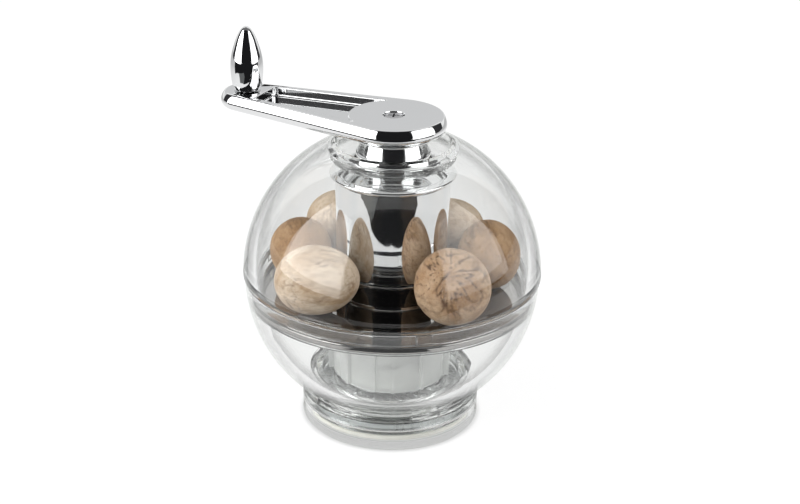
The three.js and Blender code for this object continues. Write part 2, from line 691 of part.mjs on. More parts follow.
function press() {
  const boreFloorZ = pressBottomZ + PRESS_WEB;
  const lipZ = sleeveTopZ - SLEEVE_LIP;
  const square = SQUARE + 2 * GAP;
  const body = turned([
    [0, pressBottomZ], [pressR, pressBottomZ], [pressR, pressTopZ], [SLEEVE_R + 0.8, pressTopZ],
    [SLEEVE_R, pressTopZ + 0.8], [SLEEVE_R, sleeveTopZ], [0, sleeveTopZ],
  ], MID_ROUND);
  return shaped(body, [], [
    rod(sleeveBoreR, boreFloorZ, lipZ),
    block(square, square, lipZ - OVERSHOOT, sleeveTopZ + OVERSHOOT),
  ]);
}

function clawPlate() {
  const topZ = clawPlateBottomZ + CLAW_PLATE_THICK;
  const claws = CLAW_RINGS.flatMap(([count, radius, first]) => evenly(count, first, (azimuth) => {
    const claw = rod(0, clawTipZ, clawPlateBottomZ + BITE, 4, CLAW_BASE_R);
    return claw.translate(radius, 0, 0).rotateZ(rad(azimuth));
  }));
  return shaped(rod(CLAW_DISC_R, clawPlateBottomZ, topZ, MID_ROUND), claws);
}

// Wire wound into a compression spring with a close-wound curl at each end
function pressSpring() {
  const bottomZ = pressTopZ + GAP + WIRE / 2;
  const topZ = bushBottomZ - GAP - WIRE / 2;
  const livePitch = (topZ - bottomZ - 2 * DEAD_CURLS * DEAD_PITCH) / (CURLS - 2 * DEAD_CURLS);
  const heightAt = (turns) => {
    const low = Math.min(turns, DEAD_CURLS) * DEAD_PITCH;
    const live = Math.min(Math.max(turns - DEAD_CURLS, 0), CURLS - 2 * DEAD_CURLS) * livePitch;
    const high = Math.max(turns - (CURLS - DEAD_CURLS), 0) * DEAD_PITCH;
    return bottomZ + low + live + high;
  };
  const centres = [];
  for (let i = 0; i <= CURLS * CURL_STEPS; i += 1) {
    const angle = (2 * Math.PI * i) / CURL_STEPS;
    const z = heightAt(i / CURL_STEPS);
    centres.push(new THREE.Vector3(COIL_R * Math.cos(angle), COIL_R * Math.sin(angle), z));
  }
  // Each end runs straight on for one wire diameter, level with its seat
  const first = centres[1].clone().sub(centres[0]).setZ(0).setLength(WIRE);
  const last = centres.at(-1).clone().sub(centres.at(-2)).setZ(0).setLength(WIRE);
  centres.unshift(centres[0].clone().sub(first));
  centres.push(centres.at(-1).clone().add(last));
  let least = Infinity;
  for (let i = 0; i < centres.length; i += 1) {
    for (let j = i + CURL_STEPS / 2; j < centres.length; j += 1) {
      least = Math.min(least, centres[i].distanceTo(centres[j]) - WIRE);
    }
  }
  console.log(`press spring: least gap to itself ${least.toFixed(2)} mm`);
  const rings = centres.map((centre, i) => {
    const tangent = centres[Math.min(i + 1, centres.length - 1)].clone()
      .sub(centres[Math.max(i - 1, 0)]).normalize();
    const outward = new THREE.Vector3(centre.x, centre.y, 0);
    outward.addScaledVector(tangent, -outward.dot(tangent)).normalize();
    const upward = tangent.clone().cross(outward);
    return Array.from({ length: WIRE_SIDES }, (_, k) => {
      const angle = (2 * Math.PI * k) / WIRE_SIDES;
      return centre.clone().addScaledVector(outward, (WIRE / 2) * Math.cos(angle))
        .addScaledVector(upward, (WIRE / 2) * Math.sin(angle)).toArray();
    });
  });
  return lofted(rings);
}

// Nutmegs

function nutmeg({ azimuth, distance, turn, half }) {
  const geometry = new THREE.SphereGeometry(1, 16, 10);
  const position = geometry.attributes.position;
  for (let i = 0; i < position.count; i += 1) {
    const slim = 1 - NUTMEG_TAPER * position.getX(i);
    position.setXYZ(i, position.getX(i), position.getY(i) * slim, position.getZ(i) * slim);
  }
  const size = half.map((share) => share * ringHalf);
  geometry.scale(...size);
  geometry.rotateZ(rad(turn));
  const place = rad(azimuth);
  const reach = distance * ringMidR;
  const seatZ = trayTopZ + GAP + size[2] * (1 + NUTMEG_TAPER * 0.1);
  return geometry.translate(reach * Math.cos(place), reach * Math.sin(place), seatZ);
}

// Assembly

const mill = new THREE.Group();

function add(name, geometry, material) {
  const mesh = new THREE.Mesh(tidy(geometry), material);
  mesh.geometry.computeVertexNormals();
  mesh.name = name;
  mill.add(mesh);
}

add('bowl_shell', bowlShell(), clearPlastic());
add('storage_tray', storageTray(), chrome());
add('feed_tube', feedTube(), satinPlastic());
NUTMEGS.forEach((place, i) => add(`nutmeg_${i + 1}`, nutmeg(place), nutmegSkin()));
add('grater_collar', graterCollar(), clearPlastic());
add('grater_plate', graterPlate(), steel());
add('plate_retaining_ring', plateRing(), steel());
add('base_cap', baseCap(), clearPlastic());
add('cap_liner', capLiner(), creamPlastic());
add('dome_shell', domeShell(), clearPlastic());
add('column_tube', columnTube(), chrome());
add('column_cap', columnCap(), chrome());
add('neck_collar', neckCollar(), chrome());
add('neck_bush', neckBush(), whitePlastic());
add('spring_seat', springSeat(), steel());
add('crank_arm', crankArm(), chrome());
add('crank_screw', crankScrew(), steel());
add('drive_shaft', driveShaft(), steel());
add('stop_washer', stopWasher(), steel());
add('stop_screw', stopScrew(), steel());
add('knob_pin', knobPin(), steel());
add('crank_knob', crankKnob(), chrome());
add('press', press(), whitePlastic());
add('claw_plate', clawPlate(), steel());
add('press_spring', pressSpring(), steel());

export default mill;
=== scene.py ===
# Looks of the nutmeg mill: smooth clear shells, mirror chrome, wrinkled nutmegs and a studio with two softboxes.
# Lengths are in millimetres until the mesh is made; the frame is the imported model's own.
from math import acos, asin, atan2, cos, degrees, hypot, pi, radians as rad, sin, sqrt, tan
import bpy
import bmesh
from mathutils import Matrix, Vector, noise
from mathutils.geometry import delaunay_2d_cdt


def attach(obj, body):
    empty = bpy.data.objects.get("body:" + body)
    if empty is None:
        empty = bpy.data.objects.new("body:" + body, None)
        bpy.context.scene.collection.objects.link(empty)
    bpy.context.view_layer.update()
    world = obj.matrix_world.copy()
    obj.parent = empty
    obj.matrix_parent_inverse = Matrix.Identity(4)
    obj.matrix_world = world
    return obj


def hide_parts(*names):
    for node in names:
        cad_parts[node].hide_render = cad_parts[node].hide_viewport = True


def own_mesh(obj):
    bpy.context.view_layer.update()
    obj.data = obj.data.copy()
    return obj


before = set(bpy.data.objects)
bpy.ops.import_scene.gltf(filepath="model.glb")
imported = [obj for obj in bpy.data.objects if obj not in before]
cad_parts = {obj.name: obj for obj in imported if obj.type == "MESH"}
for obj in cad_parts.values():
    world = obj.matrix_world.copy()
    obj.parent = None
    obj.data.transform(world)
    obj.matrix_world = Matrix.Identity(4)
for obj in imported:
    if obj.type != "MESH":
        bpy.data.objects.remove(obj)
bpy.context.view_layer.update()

MM = 0.001
GAP = 0.3
SEGMENTS = 160  # round a large turned piece
FRONT = -61.4  # azimuth from which the photograph was taken, in degrees
UP = Vector((0, 0, 1))
TINY = 1e-6
HAIR = 0.05  # half the height of a step in a turned wall
LEAST_TURN = rad(18)  # corners that turn less than this stay as they are
ACRYLIC_IOR = 1.49
STRAIGHT_SHARE = 0.72  # of the light that meets a clear wall at a grazing angle
MIX_A, MIX_B, MIX_OUT = 6, 7, 2  # places of the colours in a colour Mix node
AIM_HEIGHT, FLOOR_R = 0.045, 1.6  # metres


def across(radius, height):
    return sqrt(radius * radius - height * height)


def polar(radius, angle, centre=(0, 0)):
    return centre[0] + radius * cos(angle), centre[1] + radius * sin(angle)


# Sizes shared with the CAD source
DOME_R, DOME_WALL, SEAM_STEP, BOWL_WALL, RIM_WALL, LEDGE_DEPTH = 40, 3, 0.4, 3, 1.7, 6
LIP_WALL, LIP_LENGTH = 1.5, 4
KEY_COUNT, KEY_WIDTH, KEY_HEIGHT, KEY_PROUD, KEY_AZIMUTH = 3, 3.5, 3.1, 0.8, -51.4
RECESS_R, RECESS_DEPTH, RECESS_FLOOR = 14.8, 3.96, 1.6
FOOT_R, CAP_HEIGHT, CAP_FLOOR, CAP_WALL, CAP_EDGE = 24.2, 5.8, 2.1, 2, 0.6
COLLAR_HEIGHT, FLANGE_HEIGHT = 2.1, 2.16
LINER_THICK, LINER_RIM, LINER_HEIGHT = 0.6, 0.8, 1.2
FLANGE_WALL, NECK_LIP, GROOVE_DEPTH, GROOVE_HEIGHT = 2.8, 1.4, 1.5, 1.8
LUG_COUNT, LUG_SPAN, LUG_HEIGHT, LUG_AZIMUTH, TWIST, SLOT_EXTRA = 4, 16, 1.2, -69, 30, 4
SPIGOT_HEIGHT, COLLAR_WEB, SPIGOT_WALL, POCKET_WALL = 4.4, 1.5, 1.8, 1.4
PLATE_THICK, PLATE_RIM = 0.8, 2.2
TOOTH_RINGS, TOOTH_MARGIN, TOOTH_HEIGHT = (5, 10, 16), 1.2, 0.6
TOOTH_HOLE_R, TOOTH_BASE_R, TOOTH_TOP_R = 0.8, 1.35, 1.05
RING_THICK, RING_WIDTH = 1, 2.6
TRAY_FLOOR, TRAY_EDGE_WIDTH, TRAY_EDGE_HEIGHT, TRAY_NECK_HEIGHT, TRAY_NECK_WALL = 1, 1.2, 0.7, 6.3, 1.4
TUBE_R, TUBE_WALL, TUBE_FLANGE, TUBE_FLANGE_THICK = 14.4, 1.8, 2.3, 1.4
FIN_PROUD, FIN_THICK, FIN_COUNT, FIN_AZIMUTH, CHANNEL_WIDTH, FIN_LIFT = 1.4, 0.9, 10, -69.9, 5, 0.8
COLUMN_STEP, COLUMN_WALL, SHOULDER_PROUD, SHOULDER_HEIGHT, SHOULDER_EDGE = 0.6, 1.3, 1.4, 1.7, 0.7
CONE_HEIGHT, CONE_TOP_R, PLUG_DEPTH, STUB_R, STUB_LENGTH = 4, 10.6, 1.2, 7, 5.4
FLANGE_R, FLANGE_THICK, WAIST_R, FLARE_R, NECK_HEIGHT = 9.8, 0.9, 8.4, 11.1, 5.9
BUSH_WALL, BUSH_FLANGE_R, BUSH_FLANGE_THICK, SEAT_CLEAR = 1.5, 7, 0.9, 0.9
ARM_THICK, ARM_LENGTH, HUB_R, END_R = 4.6, 44.2, 13.9, 7.2
POCKET_DEPTH, POCKET_END, POCKET_END_HALF, POCKET_HUB_HALF, POCKET_HUB_R = 2.4, 38.8, 5.3, 9.5, 11.8
SCREW_HOLE_R, SCREW_HOLE_DEPTH, SOCKET_DEPTH, SCREW_HEAD = 2.85, 1.4, 2.4, 0.9
SCREW_SHANK_R, SCREW_LENGTH = 1.1, 9
SQUARE, JOURNAL_R, THRUST_R, THRUST_THICK = 5, 3.4, 5, 1.2
STOP_R, STOP_THICK, STOP_HEAD_R, STOP_HEAD, STOP_SHANK_R, STOP_LENGTH = 3.9, 1, 2.2, 1.1, 0.9, 7
KNOB_HEIGHT, KNOB_PIN_R, KNOB_PIN_LENGTH, PIN_HEAD_R, PIN_HEAD = 17.3, 1.5, 9.4, 2.6, 1
KNOB_STATIONS = ((-0.6, 3.05), (0, 3.55), (0.4, 3.72), (1.3, 4), (3, 4.25), (5.7, 4.43), (8, 4.32), (10.3, 3.9),
                 (12.6, 3.2), (14.4, 2.55), (15.6, 1.95), (16.4, 1.42), (16.95, 0.9), (17.25, 0.4), (17.32, -0.1))
PRESS_CLEAR, PRESS_THICK, PRESS_WEB, SLEEVE_R, SLEEVE_LENGTH, SLEEVE_LIP = 0.8, 1.8, 0.9, 5.6, 27.3, 2.6
CLAW_DISC_R, CLAW_PLATE_THICK, CLAW_LENGTH, CLAW_BASE_R, CLAW_CLEAR = 11, 0.8, 3.2, 1.1, 0.6
CLAW_RINGS = ((3, 4.5, 0), (5, 8.8, 20))
WIRE, COIL_R, CURLS, DEAD_CURLS, DEAD_PITCH = 1.1, 8.6, 12, 1, 1.7

CROWN_LIFT = 1.3  # how far the middle of the dome's inside lies above the ball's
CUP_WALL, CUP_EDGE, CUP_FILLET, CUP_UNDER = 1.6, 0.8, 0.7, 1.3
POCKET_EDGE, POCKET_FILLET = 0.3, 0.45
TOOTH_SIDES, KNOB_STEPS, CURL_STEPS, WIRE_SIDES = 20, 8, 40, 14

# Heights and radii that follow
KNOB_AXIS = (-ARM_LENGTH, 0)
bowl_r = DOME_R - SEAM_STEP
rim_bore_r = bowl_r - RIM_WALL
lip_r = rim_bore_r - GAP
collar_bottom = CAP_HEIGHT + GAP
collar_top = collar_bottom + COLLAR_HEIGHT
bowl_bottom = collar_top + GAP
ball_z = bowl_bottom + FLANGE_HEIGHT + across(bowl_r, FOOT_R)
seam_z = ball_z + GAP
ledge_z = ball_z - LEDGE_DEPTH
foot_bore_r = FOOT_R - FLANGE_WALL
spigot_top = collar_top + SPIGOT_HEIGHT
groove_bottom = bowl_bottom + NECK_LIP
skirt_r = FOOT_R - CAP_WALL - GAP
plate_r = skirt_r - POCKET_WALL - GAP
liner_top = CAP_FLOOR + GAP + LINER_HEIGHT
skirt_bottom = liner_top + GAP
ring_top = skirt_bottom + RING_THICK
plate_top = ring_top + GAP + PLATE_RIM
tray_bottom = ledge_z + GAP
tray_top = tray_bottom + TRAY_FLOOR
tray_neck_top = tray_top + TRAY_NECK_HEIGHT
tray_neck_r = TUBE_R + TRAY_NECK_WALL
column_r = tray_neck_r - COLUMN_STEP
column_bottom = tray_neck_top + GAP
recess_floor = ball_z + across(DOME_R, RECESS_R) - RECESS_DEPTH
recess_under = recess_floor - RECESS_FLOOR
cone_top = recess_under - GAP
cone_bottom = cone_top - CONE_HEIGHT
column_top = cone_bottom - GAP
shoulder_r = column_r + SHOULDER_PROUD
plug_r = column_r - COLUMN_WALL - GAP
plug_bottom = cone_bottom - GAP - PLUG_DEPTH
stub_top = cone_top + STUB_LENGTH
bush_r = JOURNAL_R + GAP + BUSH_WALL
neck_bottom = recess_floor + GAP
neck_top = neck_bottom + NECK_HEIGHT
seat_r = column_r - COLUMN_WALL - SEAT_CLEAR
bush_flange_top = plug_bottom - GAP
bush_bottom = bush_flange_top - BUSH_FLANGE_THICK
thrust_top = bush_bottom - GAP
thrust_bottom = thrust_top - THRUST_THICK
arm_bottom = neck_top + GAP
arm_top = arm_bottom + ARM_THICK
claw_tip = plate_top + TOOTH_HEIGHT + CLAW_CLEAR
claw_bottom = claw_tip + CLAW_LENGTH
press_bottom = claw_bottom + CLAW_PLATE_THICK + GAP
press_top = press_bottom + PRESS_THICK
press_r = TUBE_R - PRESS_CLEAR
sleeve_top = press_top + SLEEVE_LENGTH
sleeve_bore_r = STOP_R + 0.4
shaft_bottom = sleeve_top - SLEEVE_LIP
stop_top = shaft_bottom - GAP
stop_bottom = stop_top - STOP_THICK
ring_mid_r = (tray_neck_r + lip_r) / 2
ring_half = (lip_r - tray_neck_r) / 2


# Mesh building
class Builder:
    """Collects corners and faces, and turns them into one object of the part."""

    def __init__(self):
        self.corners = []
        self.faces = []

    def loop(self, points, z=None):
        """Adds corners, all at height z if it is given, and returns their places in the list."""
        first = len(self.corners)
        self.corners.extend(points if z is None else [(x, y, z) for x, y in points])
        return list(range(first, len(self.corners)))

    def ring(self, radius, z, count, centre=(0, 0)):
        return self.loop(circle(radius, count, centre), z)

    def rings(self, count, stations, centre=(0, 0)):
        return [self.ring(radius, z, count, centre) for radius, z in stations]

    def bridge(self, lower, upper):
        count = max(len(lower), len(upper))
        for i in range(count if count > 1 else 0):
            under, over = ([loop[k % len(loop)] for k in (i, (i + 1) % count)] for loop in (lower, upper))
            self.faces.append(tuple(dict.fromkeys([*under, *reversed(over)])))

    def tube(self, loops):
        for lower, upper in zip(loops, loops[1:]):
            self.bridge(lower, upper)

    def fill(self, outer, holes=()):
        """Flat face between an outer loop and the loops of its holes."""
        order, edges, rings = [], [], []
        for loop in (outer, *holes):
            first = len(order)
            edges += [(first + i, first + (i + 1) % len(loop)) for i in range(len(loop))]
            order += loop
            rings.append([Vector(self.corners[k][:2]) for k in loop])
        made = delaunay_2d_cdt([point for ring in rings for point in ring], edges, [], 0, 1e-7)
        for triangle in made[2]:
            middle = sum((made[0][k] for k in triangle), Vector((0, 0))) / len(triangle)
            if inside(middle, rings[0]) and not any(inside(middle, ring) for ring in rings[1:]):
                self.faces.append(tuple(order[made[3][k][0]] for k in triangle))

    def spin(self, profile, azimuths, centre=(0, 0)):
        """Sweeps a closed profile round the axis. A profile point is (r, z), or (r, z, shape) where
        shape(azimuth) gives what is added to r there."""
        loops = []
        for r, z, *shape in profile:
            if r < TINY:
                loops.append(self.loop([centre], z))
                continue
            spokes = [(rad(azimuth), r + (shape[0](azimuth) if shape else 0)) for azimuth in azimuths]
            loops.append(self.loop([polar(reach, turn, centre) for turn, reach in spokes], z))
        if max(profile[0][0], profile[-1][0]) >= TINY:
            loops.append(loops[0])
        self.tube(loops)

    def piece(self, node, body, slot, material, sharp=32, weighted=False):
        mesh = bpy.data.meshes.new(node + "_look")
        mesh.from_pydata([tuple(MM * value for value in corner) for corner in self.corners], [], self.faces)
        solid = bmesh.new()
        solid.from_mesh(mesh)
        bmesh.ops.remove_doubles(solid, verts=solid.verts, dist=1e-7)
        bmesh.ops.recalc_face_normals(solid, faces=solid.faces)
        solid.to_mesh(mesh)
        solid.free()
        mesh.shade_smooth()
        mesh.set_sharp_from_angle(angle=rad(sharp))
        mesh.materials.append(material)
        made = linked(mesh.name, mesh)
        if weighted:
            keep = made.modifiers.new("normals", "WEIGHTED_NORMAL")
            keep.keep_sharp = True
            keep.weight = 60
        return standing_in(made, node, body)


def linked(name, data):
    made = bpy.data.objects.new(name, data)
    bpy.context.scene.collection.objects.link(made)
    return made


def standing_in(made, node, body):
    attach(made, body)
    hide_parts(node)
    return made


def inside(point, ring):
    hit = False
    for a, b in zip(ring, [ring[-1], *ring]):
        if (a.y > point.y) != (b.y > point.y) and point.x < (b.x - a.x) * (point.y - a.y) / (b.y - a.y) + a.x:
            hit = not hit
    return hit


def arc(centre, radius, start, end, steps):
    return [polar(radius, start + (end - start) * i / steps, centre) for i in range(steps + 1)]


def circle(radius, count, centre=(0, 0)):
    return arc(centre, radius, 0, 2 * pi, count)[:-1]


def bezier(a, b, c, steps):
    return [tuple(Vector(a) * (1 - t) ** 2 + Vector(b) * (2 * t * (1 - t)) + Vector(c) * t * t)
            for t in (i / steps for i in range(steps + 1))]


def rounding(before, here, after, radius, share, steps, even=True):
    """Curve in place of a corner. It takes at most a share of the sides, and the same from both if even."""
    here = Vector(here)
    sides = [Vector(before) - here, Vector(after) - here]
    cut = radius * tan((pi - sides[0].angle(sides[1])) / 2)
    cuts = [min(cut, share * side.length) for side in sides]
    start, end = (here + side.normalized() * (min(cuts) if even else own) for side, own in zip(sides, cuts))
    return bezier(start, here, end, steps)


def eased(profile, radius=0.25, steps=3):
    """Rounds the corners of a closed profile of (radius, z) points; corners on the axis stay."""
    made = []
    for i, here in enumerate(profile):
        before, after = profile[i - 1], profile[(i + 1) % len(profile)]
        back, ahead = Vector(before) - Vector(here), Vector(after) - Vector(here)
        if here[0] < TINY or min(back.length, ahead.length) < TINY or pi - back.angle(ahead) < LEAST_TURN:
            made.append(tuple(Vector(here)))
        else:
            made += rounding(before, here, after, radius, 0.42, steps)
    return made


def supported(profile, gap=0.25):
    """Adds a ring near both ends of each long straight run, which keeps smooth shading inside the roundings."""
    made = []
    for i, here in enumerate(profile):
        after = profile[(i + 1) % len(profile)]
        made.append(here)
        run = Vector(after) - Vector(here)
        if run.length > 4 * gap and min(here[0], after[0]) > TINY:
            step = run.normalized() * gap
            made += [tuple(Vector(here) + step), tuple(Vector(after) - step)]
    return made


def swept(node, body, slot, material, profile, azimuths, centre=(0, 0), sharp=32):
    made = Builder()
    made.spin(profile, azimuths, centre)
    return made.piece(node, body, slot, material, sharp)


def turned(node, body, slot, material, profile, radius=0.25, steps=3, centre=(0, 0), segments=SEGMENTS, sharp=32):
    azimuths = [360 * i / segments for i in range(segments)]
    swept(node, body, slot, material, supported(eased(profile, radius, steps)), azimuths, centre, sharp)


def block(inner_r, outer_r, low, high):
    """Profile of a plain ring."""
    return [(inner_r, low), (outer_r, low), (outer_r, high), (inner_r, high)]


def rim(radius, low, high, cut):
    """Outer side of a ring with its edges cut off."""
    return [(radius - cut, low), (radius, low + cut), (radius, high - cut), (radius - cut, high)]


def aside(azimuth, other):
    return abs((azimuth - other + 180) % 360 - 180)


def stepped_azimuths(spans, segments=SEGMENTS, edge=0.12):
    """Even azimuths, with a close pair in their place at both ends of each span (centre, width)."""
    azimuths = {round(360 * i / segments, 4) for i in range(segments)}
    for end in [centre + side * width / 2 for centre, width in spans for side in (-1, 1)]:
        azimuths = {azimuth for azimuth in azimuths if aside(azimuth, end) > 3 * edge}
        azimuths.update(round((end + shift) % 360, 4) for shift in (-edge, edge))
    return sorted(azimuths)


def raised(spans, amount):
    """Function that gives the amount at azimuths inside the spans (centre, width)."""
    return lambda azimuth: amount if any(aside(azimuth, centre) < width / 2 for centre, width in spans) else 0


# Materials
class Nodes:
    """The nodes of a material or the world. A call that adds a node returns one of its outputs."""

    def __init__(self, owner, bare=False):
        owner.use_nodes = True
        self.tree = owner.node_tree
        self.shader = next(node for node in self.tree.nodes if node.outputs)
        self.end = next(node for node in self.tree.nodes if not node.outputs)
        if bare:
            self.tree.nodes.remove(self.shader)

    def feed(self, node, inputs):
        """Sets each input to a value, or links it to the output that is given for it."""
        for key, value in inputs.items():
            if isinstance(value, bpy.types.NodeSocket):
                self.tree.links.new(value, node.inputs[key])
            else:
                node.inputs[key].default_value = value

    def add(self, kind, inputs, out=0, **settings):
        node = self.tree.nodes.new("ShaderNode" + kind)
        for key, value in settings.items():
            setattr(node, key, value)
        self.feed(node, inputs)
        return node.outputs[out]

    def noise(self, scale, detail=3, roughness=0.5, stretch=None):
        where = self.add("TexCoord", {}, "Object")
        if stretch:
            where = self.add("Mapping", {"Vector": where, "Scale": stretch})
        return self.add("TexNoise", {"Vector": where, "Scale": scale, "Detail": detail, "Roughness": roughness})

    def spread(self, source, low, high, from_low=0.3, from_high=0.7, **settings):
        return self.add("MapRange", {"Value": source, "From Min": from_low, "From Max": from_high,
                                     "To Min": low, "To Max": high}, **settings)

    def bump(self, height, strength, distance):
        return self.add("Bump", {"Height": height, "Strength": strength, "Distance": distance})

    def ramp(self, source, *stops):
        colour = self.add("ValToRGB", {"Fac": source})
        elements = colour.node.color_ramp.elements
        while len(elements) < len(stops):
            elements.new(0.5)
        for element, (place, tone) in zip(elements, stops):
            element.position = place
            element.color = (*tone, 1)
        return colour

    def larger(self, one, other):
        return self.add("Math", {0: one, 1: other}, operation="MAXIMUM")

    def light_path(self, kind):
        return self.add("LightPath", {}, kind)

    def mixed(self, share, one, other):
        return self.add("MixShader", {0: share, 1: one, 2: other})

    def lets_light_through(self, edge=0.0):
        """Lamps shine through the clear piece in place of the dark shadow that plain glass throws. The share
        edge also lets light pass straight where the surface is seen at a grazing angle."""
        share = self.light_path("Is Shadow Ray")
        if edge:
            grazing = self.add("LayerWeight", {}, "Facing")
            share = self.larger(share, self.spread(grazing, 0, edge, 0.62, 0.9))
        clear = self.add("BsdfTransparent", {"Color": (0.93, 0.94, 0.93, 1)})
        self.feed(self.end, {"Surface": self.mixed(share, self.shader.outputs["BSDF"], clear)})


def surface(name, tones, rough, bump=None, edge=None, **fixed):
    """Material whose colours, roughness and bump each follow a noise, given first; fixed inputs stay plain."""
    material = bpy.data.materials.new(name)
    nodes = Nodes(material)
    inputs = {key.replace("_", " "): value for key, value in fixed.items()}
    if tones:
        inputs["Base Color"] = nodes.ramp(nodes.noise(*tones[0]), *tones[1:])
    inputs["Roughness"] = nodes.spread(nodes.noise(*rough[0]), *rough[1:])
    if bump:
        inputs["Normal"] = nodes.bump(nodes.noise(*bump[0]), *bump[1:])
    nodes.feed(nodes.shader, inputs)
    if edge is not None:
        nodes.lets_light_through(edge)
    return material


def dimmed(tone, share):
    return tuple(share * value for value in tone)


def clear_acrylic(name, colour=(0.985, 0.99, 0.985), smooth=0.0, worn=0.012, bending=ACRYLIC_IOR):
    return surface(name, None, ((60, 5, 0.6), smooth, worn), ((35, 1), 0.02, 0.0003), STRAIGHT_SHARE,
                   Base_Color=(*colour, 1), Transmission_Weight=1, IOR=bending)


def satin_acrylic(name):
    return surface(name, ((60,), (0.3, (0.87, 0.875, 0.87)), (0.7, (0.92, 0.925, 0.92))),
                   ((120, 3, 0.6), 0.12, 0.2), edge=0, Transmission_Weight=0.7, IOR=ACRYLIC_IOR)


def chrome(name, tone=(0.85, 0.855, 0.86), low=0.02, high=0.05, wave=0.06):
    return surface(name, ((30, 4), (0.35, dimmed(tone, 0.97)), (0.65, tone)),
                   ((140, 6, 0.65), low, high, 0.35, 0.75), ((45, 1), wave, 0.0005), Metallic=1)


def brushed_steel(name, tone, stretch=(1, 1, 14)):
    lines = (160, 4, 0.6, stretch)
    return surface(name, (lines, (0.3, dimmed(tone, 0.8)), (0.7, tone)), (lines, 0.2, 0.38),
                   (lines, 0.12, 0.0001), Metallic=1)


def moulded(name, dark, light):
    return surface(name, ((55, 4), (0.3, dark), (0.7, light)), ((900, 2), 0.38, 0.55), ((900, 2), 0.12, 0.00008))


def nutmeg_skin(name, pale, warm, furrow_tone_and_shade, bias, lay):
    """Pale powdery skin over brown with threads along the kernel; crease and grain are written on the mesh. Creases
    turn towards a dark tone, partly the furrows' own colour and partly painted shade.
    """
    material = bpy.data.materials.new(name)
    nodes = Nodes(material)
    where = nodes.add("Attribute", {}, "Vector", attribute_name="grain")

    def along(scale, stretch, detail, rough, bend):
        lie = nodes.add("Mapping", {"Vector": where, "Scale": stretch, "Location": (lay, lay * 0.7, lay * 1.3)})
        return nodes.add("TexNoise", {"Vector": lie, "Scale": scale, "Detail": detail, "Roughness": rough,
                                      "Distortion": bend})

    threads = along(9, (0.22, 1, 1), 5, 0.62, 0.7)
    base = nodes.ramp(along(1.5, (0.8, 1, 1), 4, 0.6, 0.4), (0.38 + bias, warm), (0.6 + bias, pale))
    thread_tone = nodes.ramp(threads, (0.3, (0.72, 0.66, 0.6)), (0.52, (1, 1, 1)), (0.75, (1.0, 0.98, 0.95)))
    worn = nodes.add("Mix", {"Factor": 1, MIX_A: base, MIX_B: thread_tone}, MIX_OUT, data_type="RGBA",
                     blend_type="MULTIPLY")
    crease = nodes.add("Attribute", {}, "Fac", attribute_name="crease")
    # Base colour darkens in the creases and the eye slit: partly the furrows' own colour, partly painted shade.
    nodes.feed(nodes.shader, {
        "Base Color": nodes.add("Mix", {"Factor": nodes.spread(crease, 0, 0.9, 0.05, 0.62), MIX_A: worn,
                                        MIX_B: (*furrow_tone_and_shade, 1)}, MIX_OUT, data_type="RGBA"),
        "Roughness": nodes.spread(threads, 0.55, 0.8), "Normal": nodes.bump(threads, 0.6, 0.0004)})
    return material


DOME_CLEAR = clear_acrylic("dome_acrylic")
CUP_CLEAR = clear_acrylic("cup_acrylic", bending=1.1)
BOWL_CLEAR = clear_acrylic("bowl_acrylic")
COLLAR_CLEAR = clear_acrylic("collar_acrylic", (0.96, 0.975, 0.965), 0.01, 0.04)
CAP_CLEAR = clear_acrylic("cap_acrylic", (0.965, 0.975, 0.965), 0.01, 0.03)
TUBE_SATIN = satin_acrylic("feed_tube_satin")
TRAY_CHROME = chrome("tray_chrome", (0.4, 0.39, 0.38), 0.015, 0.04, 0.03)
COLUMN_CHROME = chrome("column_chrome", (0.84, 0.845, 0.85))
NECK_CHROME = chrome("neck_chrome", low=0.09, high=0.14)
CAP_CHROME = chrome("cap_chrome", low=0.06, high=0.1)
ARM_CHROME = chrome("arm_chrome", low=0.03, high=0.07, wave=0.08)
KNOB_CHROME = chrome("knob_chrome", (0.86, 0.865, 0.87), 0.02, 0.045)
PLATE_STEEL = brushed_steel("plate_steel", (0.6, 0.61, 0.62), (1, 6, 1))
RING_STEEL = brushed_steel("ring_steel", (0.5, 0.51, 0.52))
FAST_STEEL = brushed_steel("fastener_steel", (0.5, 0.5, 0.51), (2, 2, 2))
SPRING_STEEL = brushed_steel("spring_steel", (0.52, 0.53, 0.54), (3, 3, 3))
LINER_CREAM = moulded("liner_cream", (0.64, 0.62, 0.57), (0.74, 0.72, 0.68))
BUSH_WHITE = moulded("bush_white", (0.76, 0.76, 0.74), (0.84, 0.84, 0.82))
PRESS_WHITE = moulded("press_white", (0.78, 0.78, 0.76), (0.86, 0.86, 0.84))


# Ball
def evenly(count, first, width):
    return [(first + 360 / count * k, width) for k in range(count)]


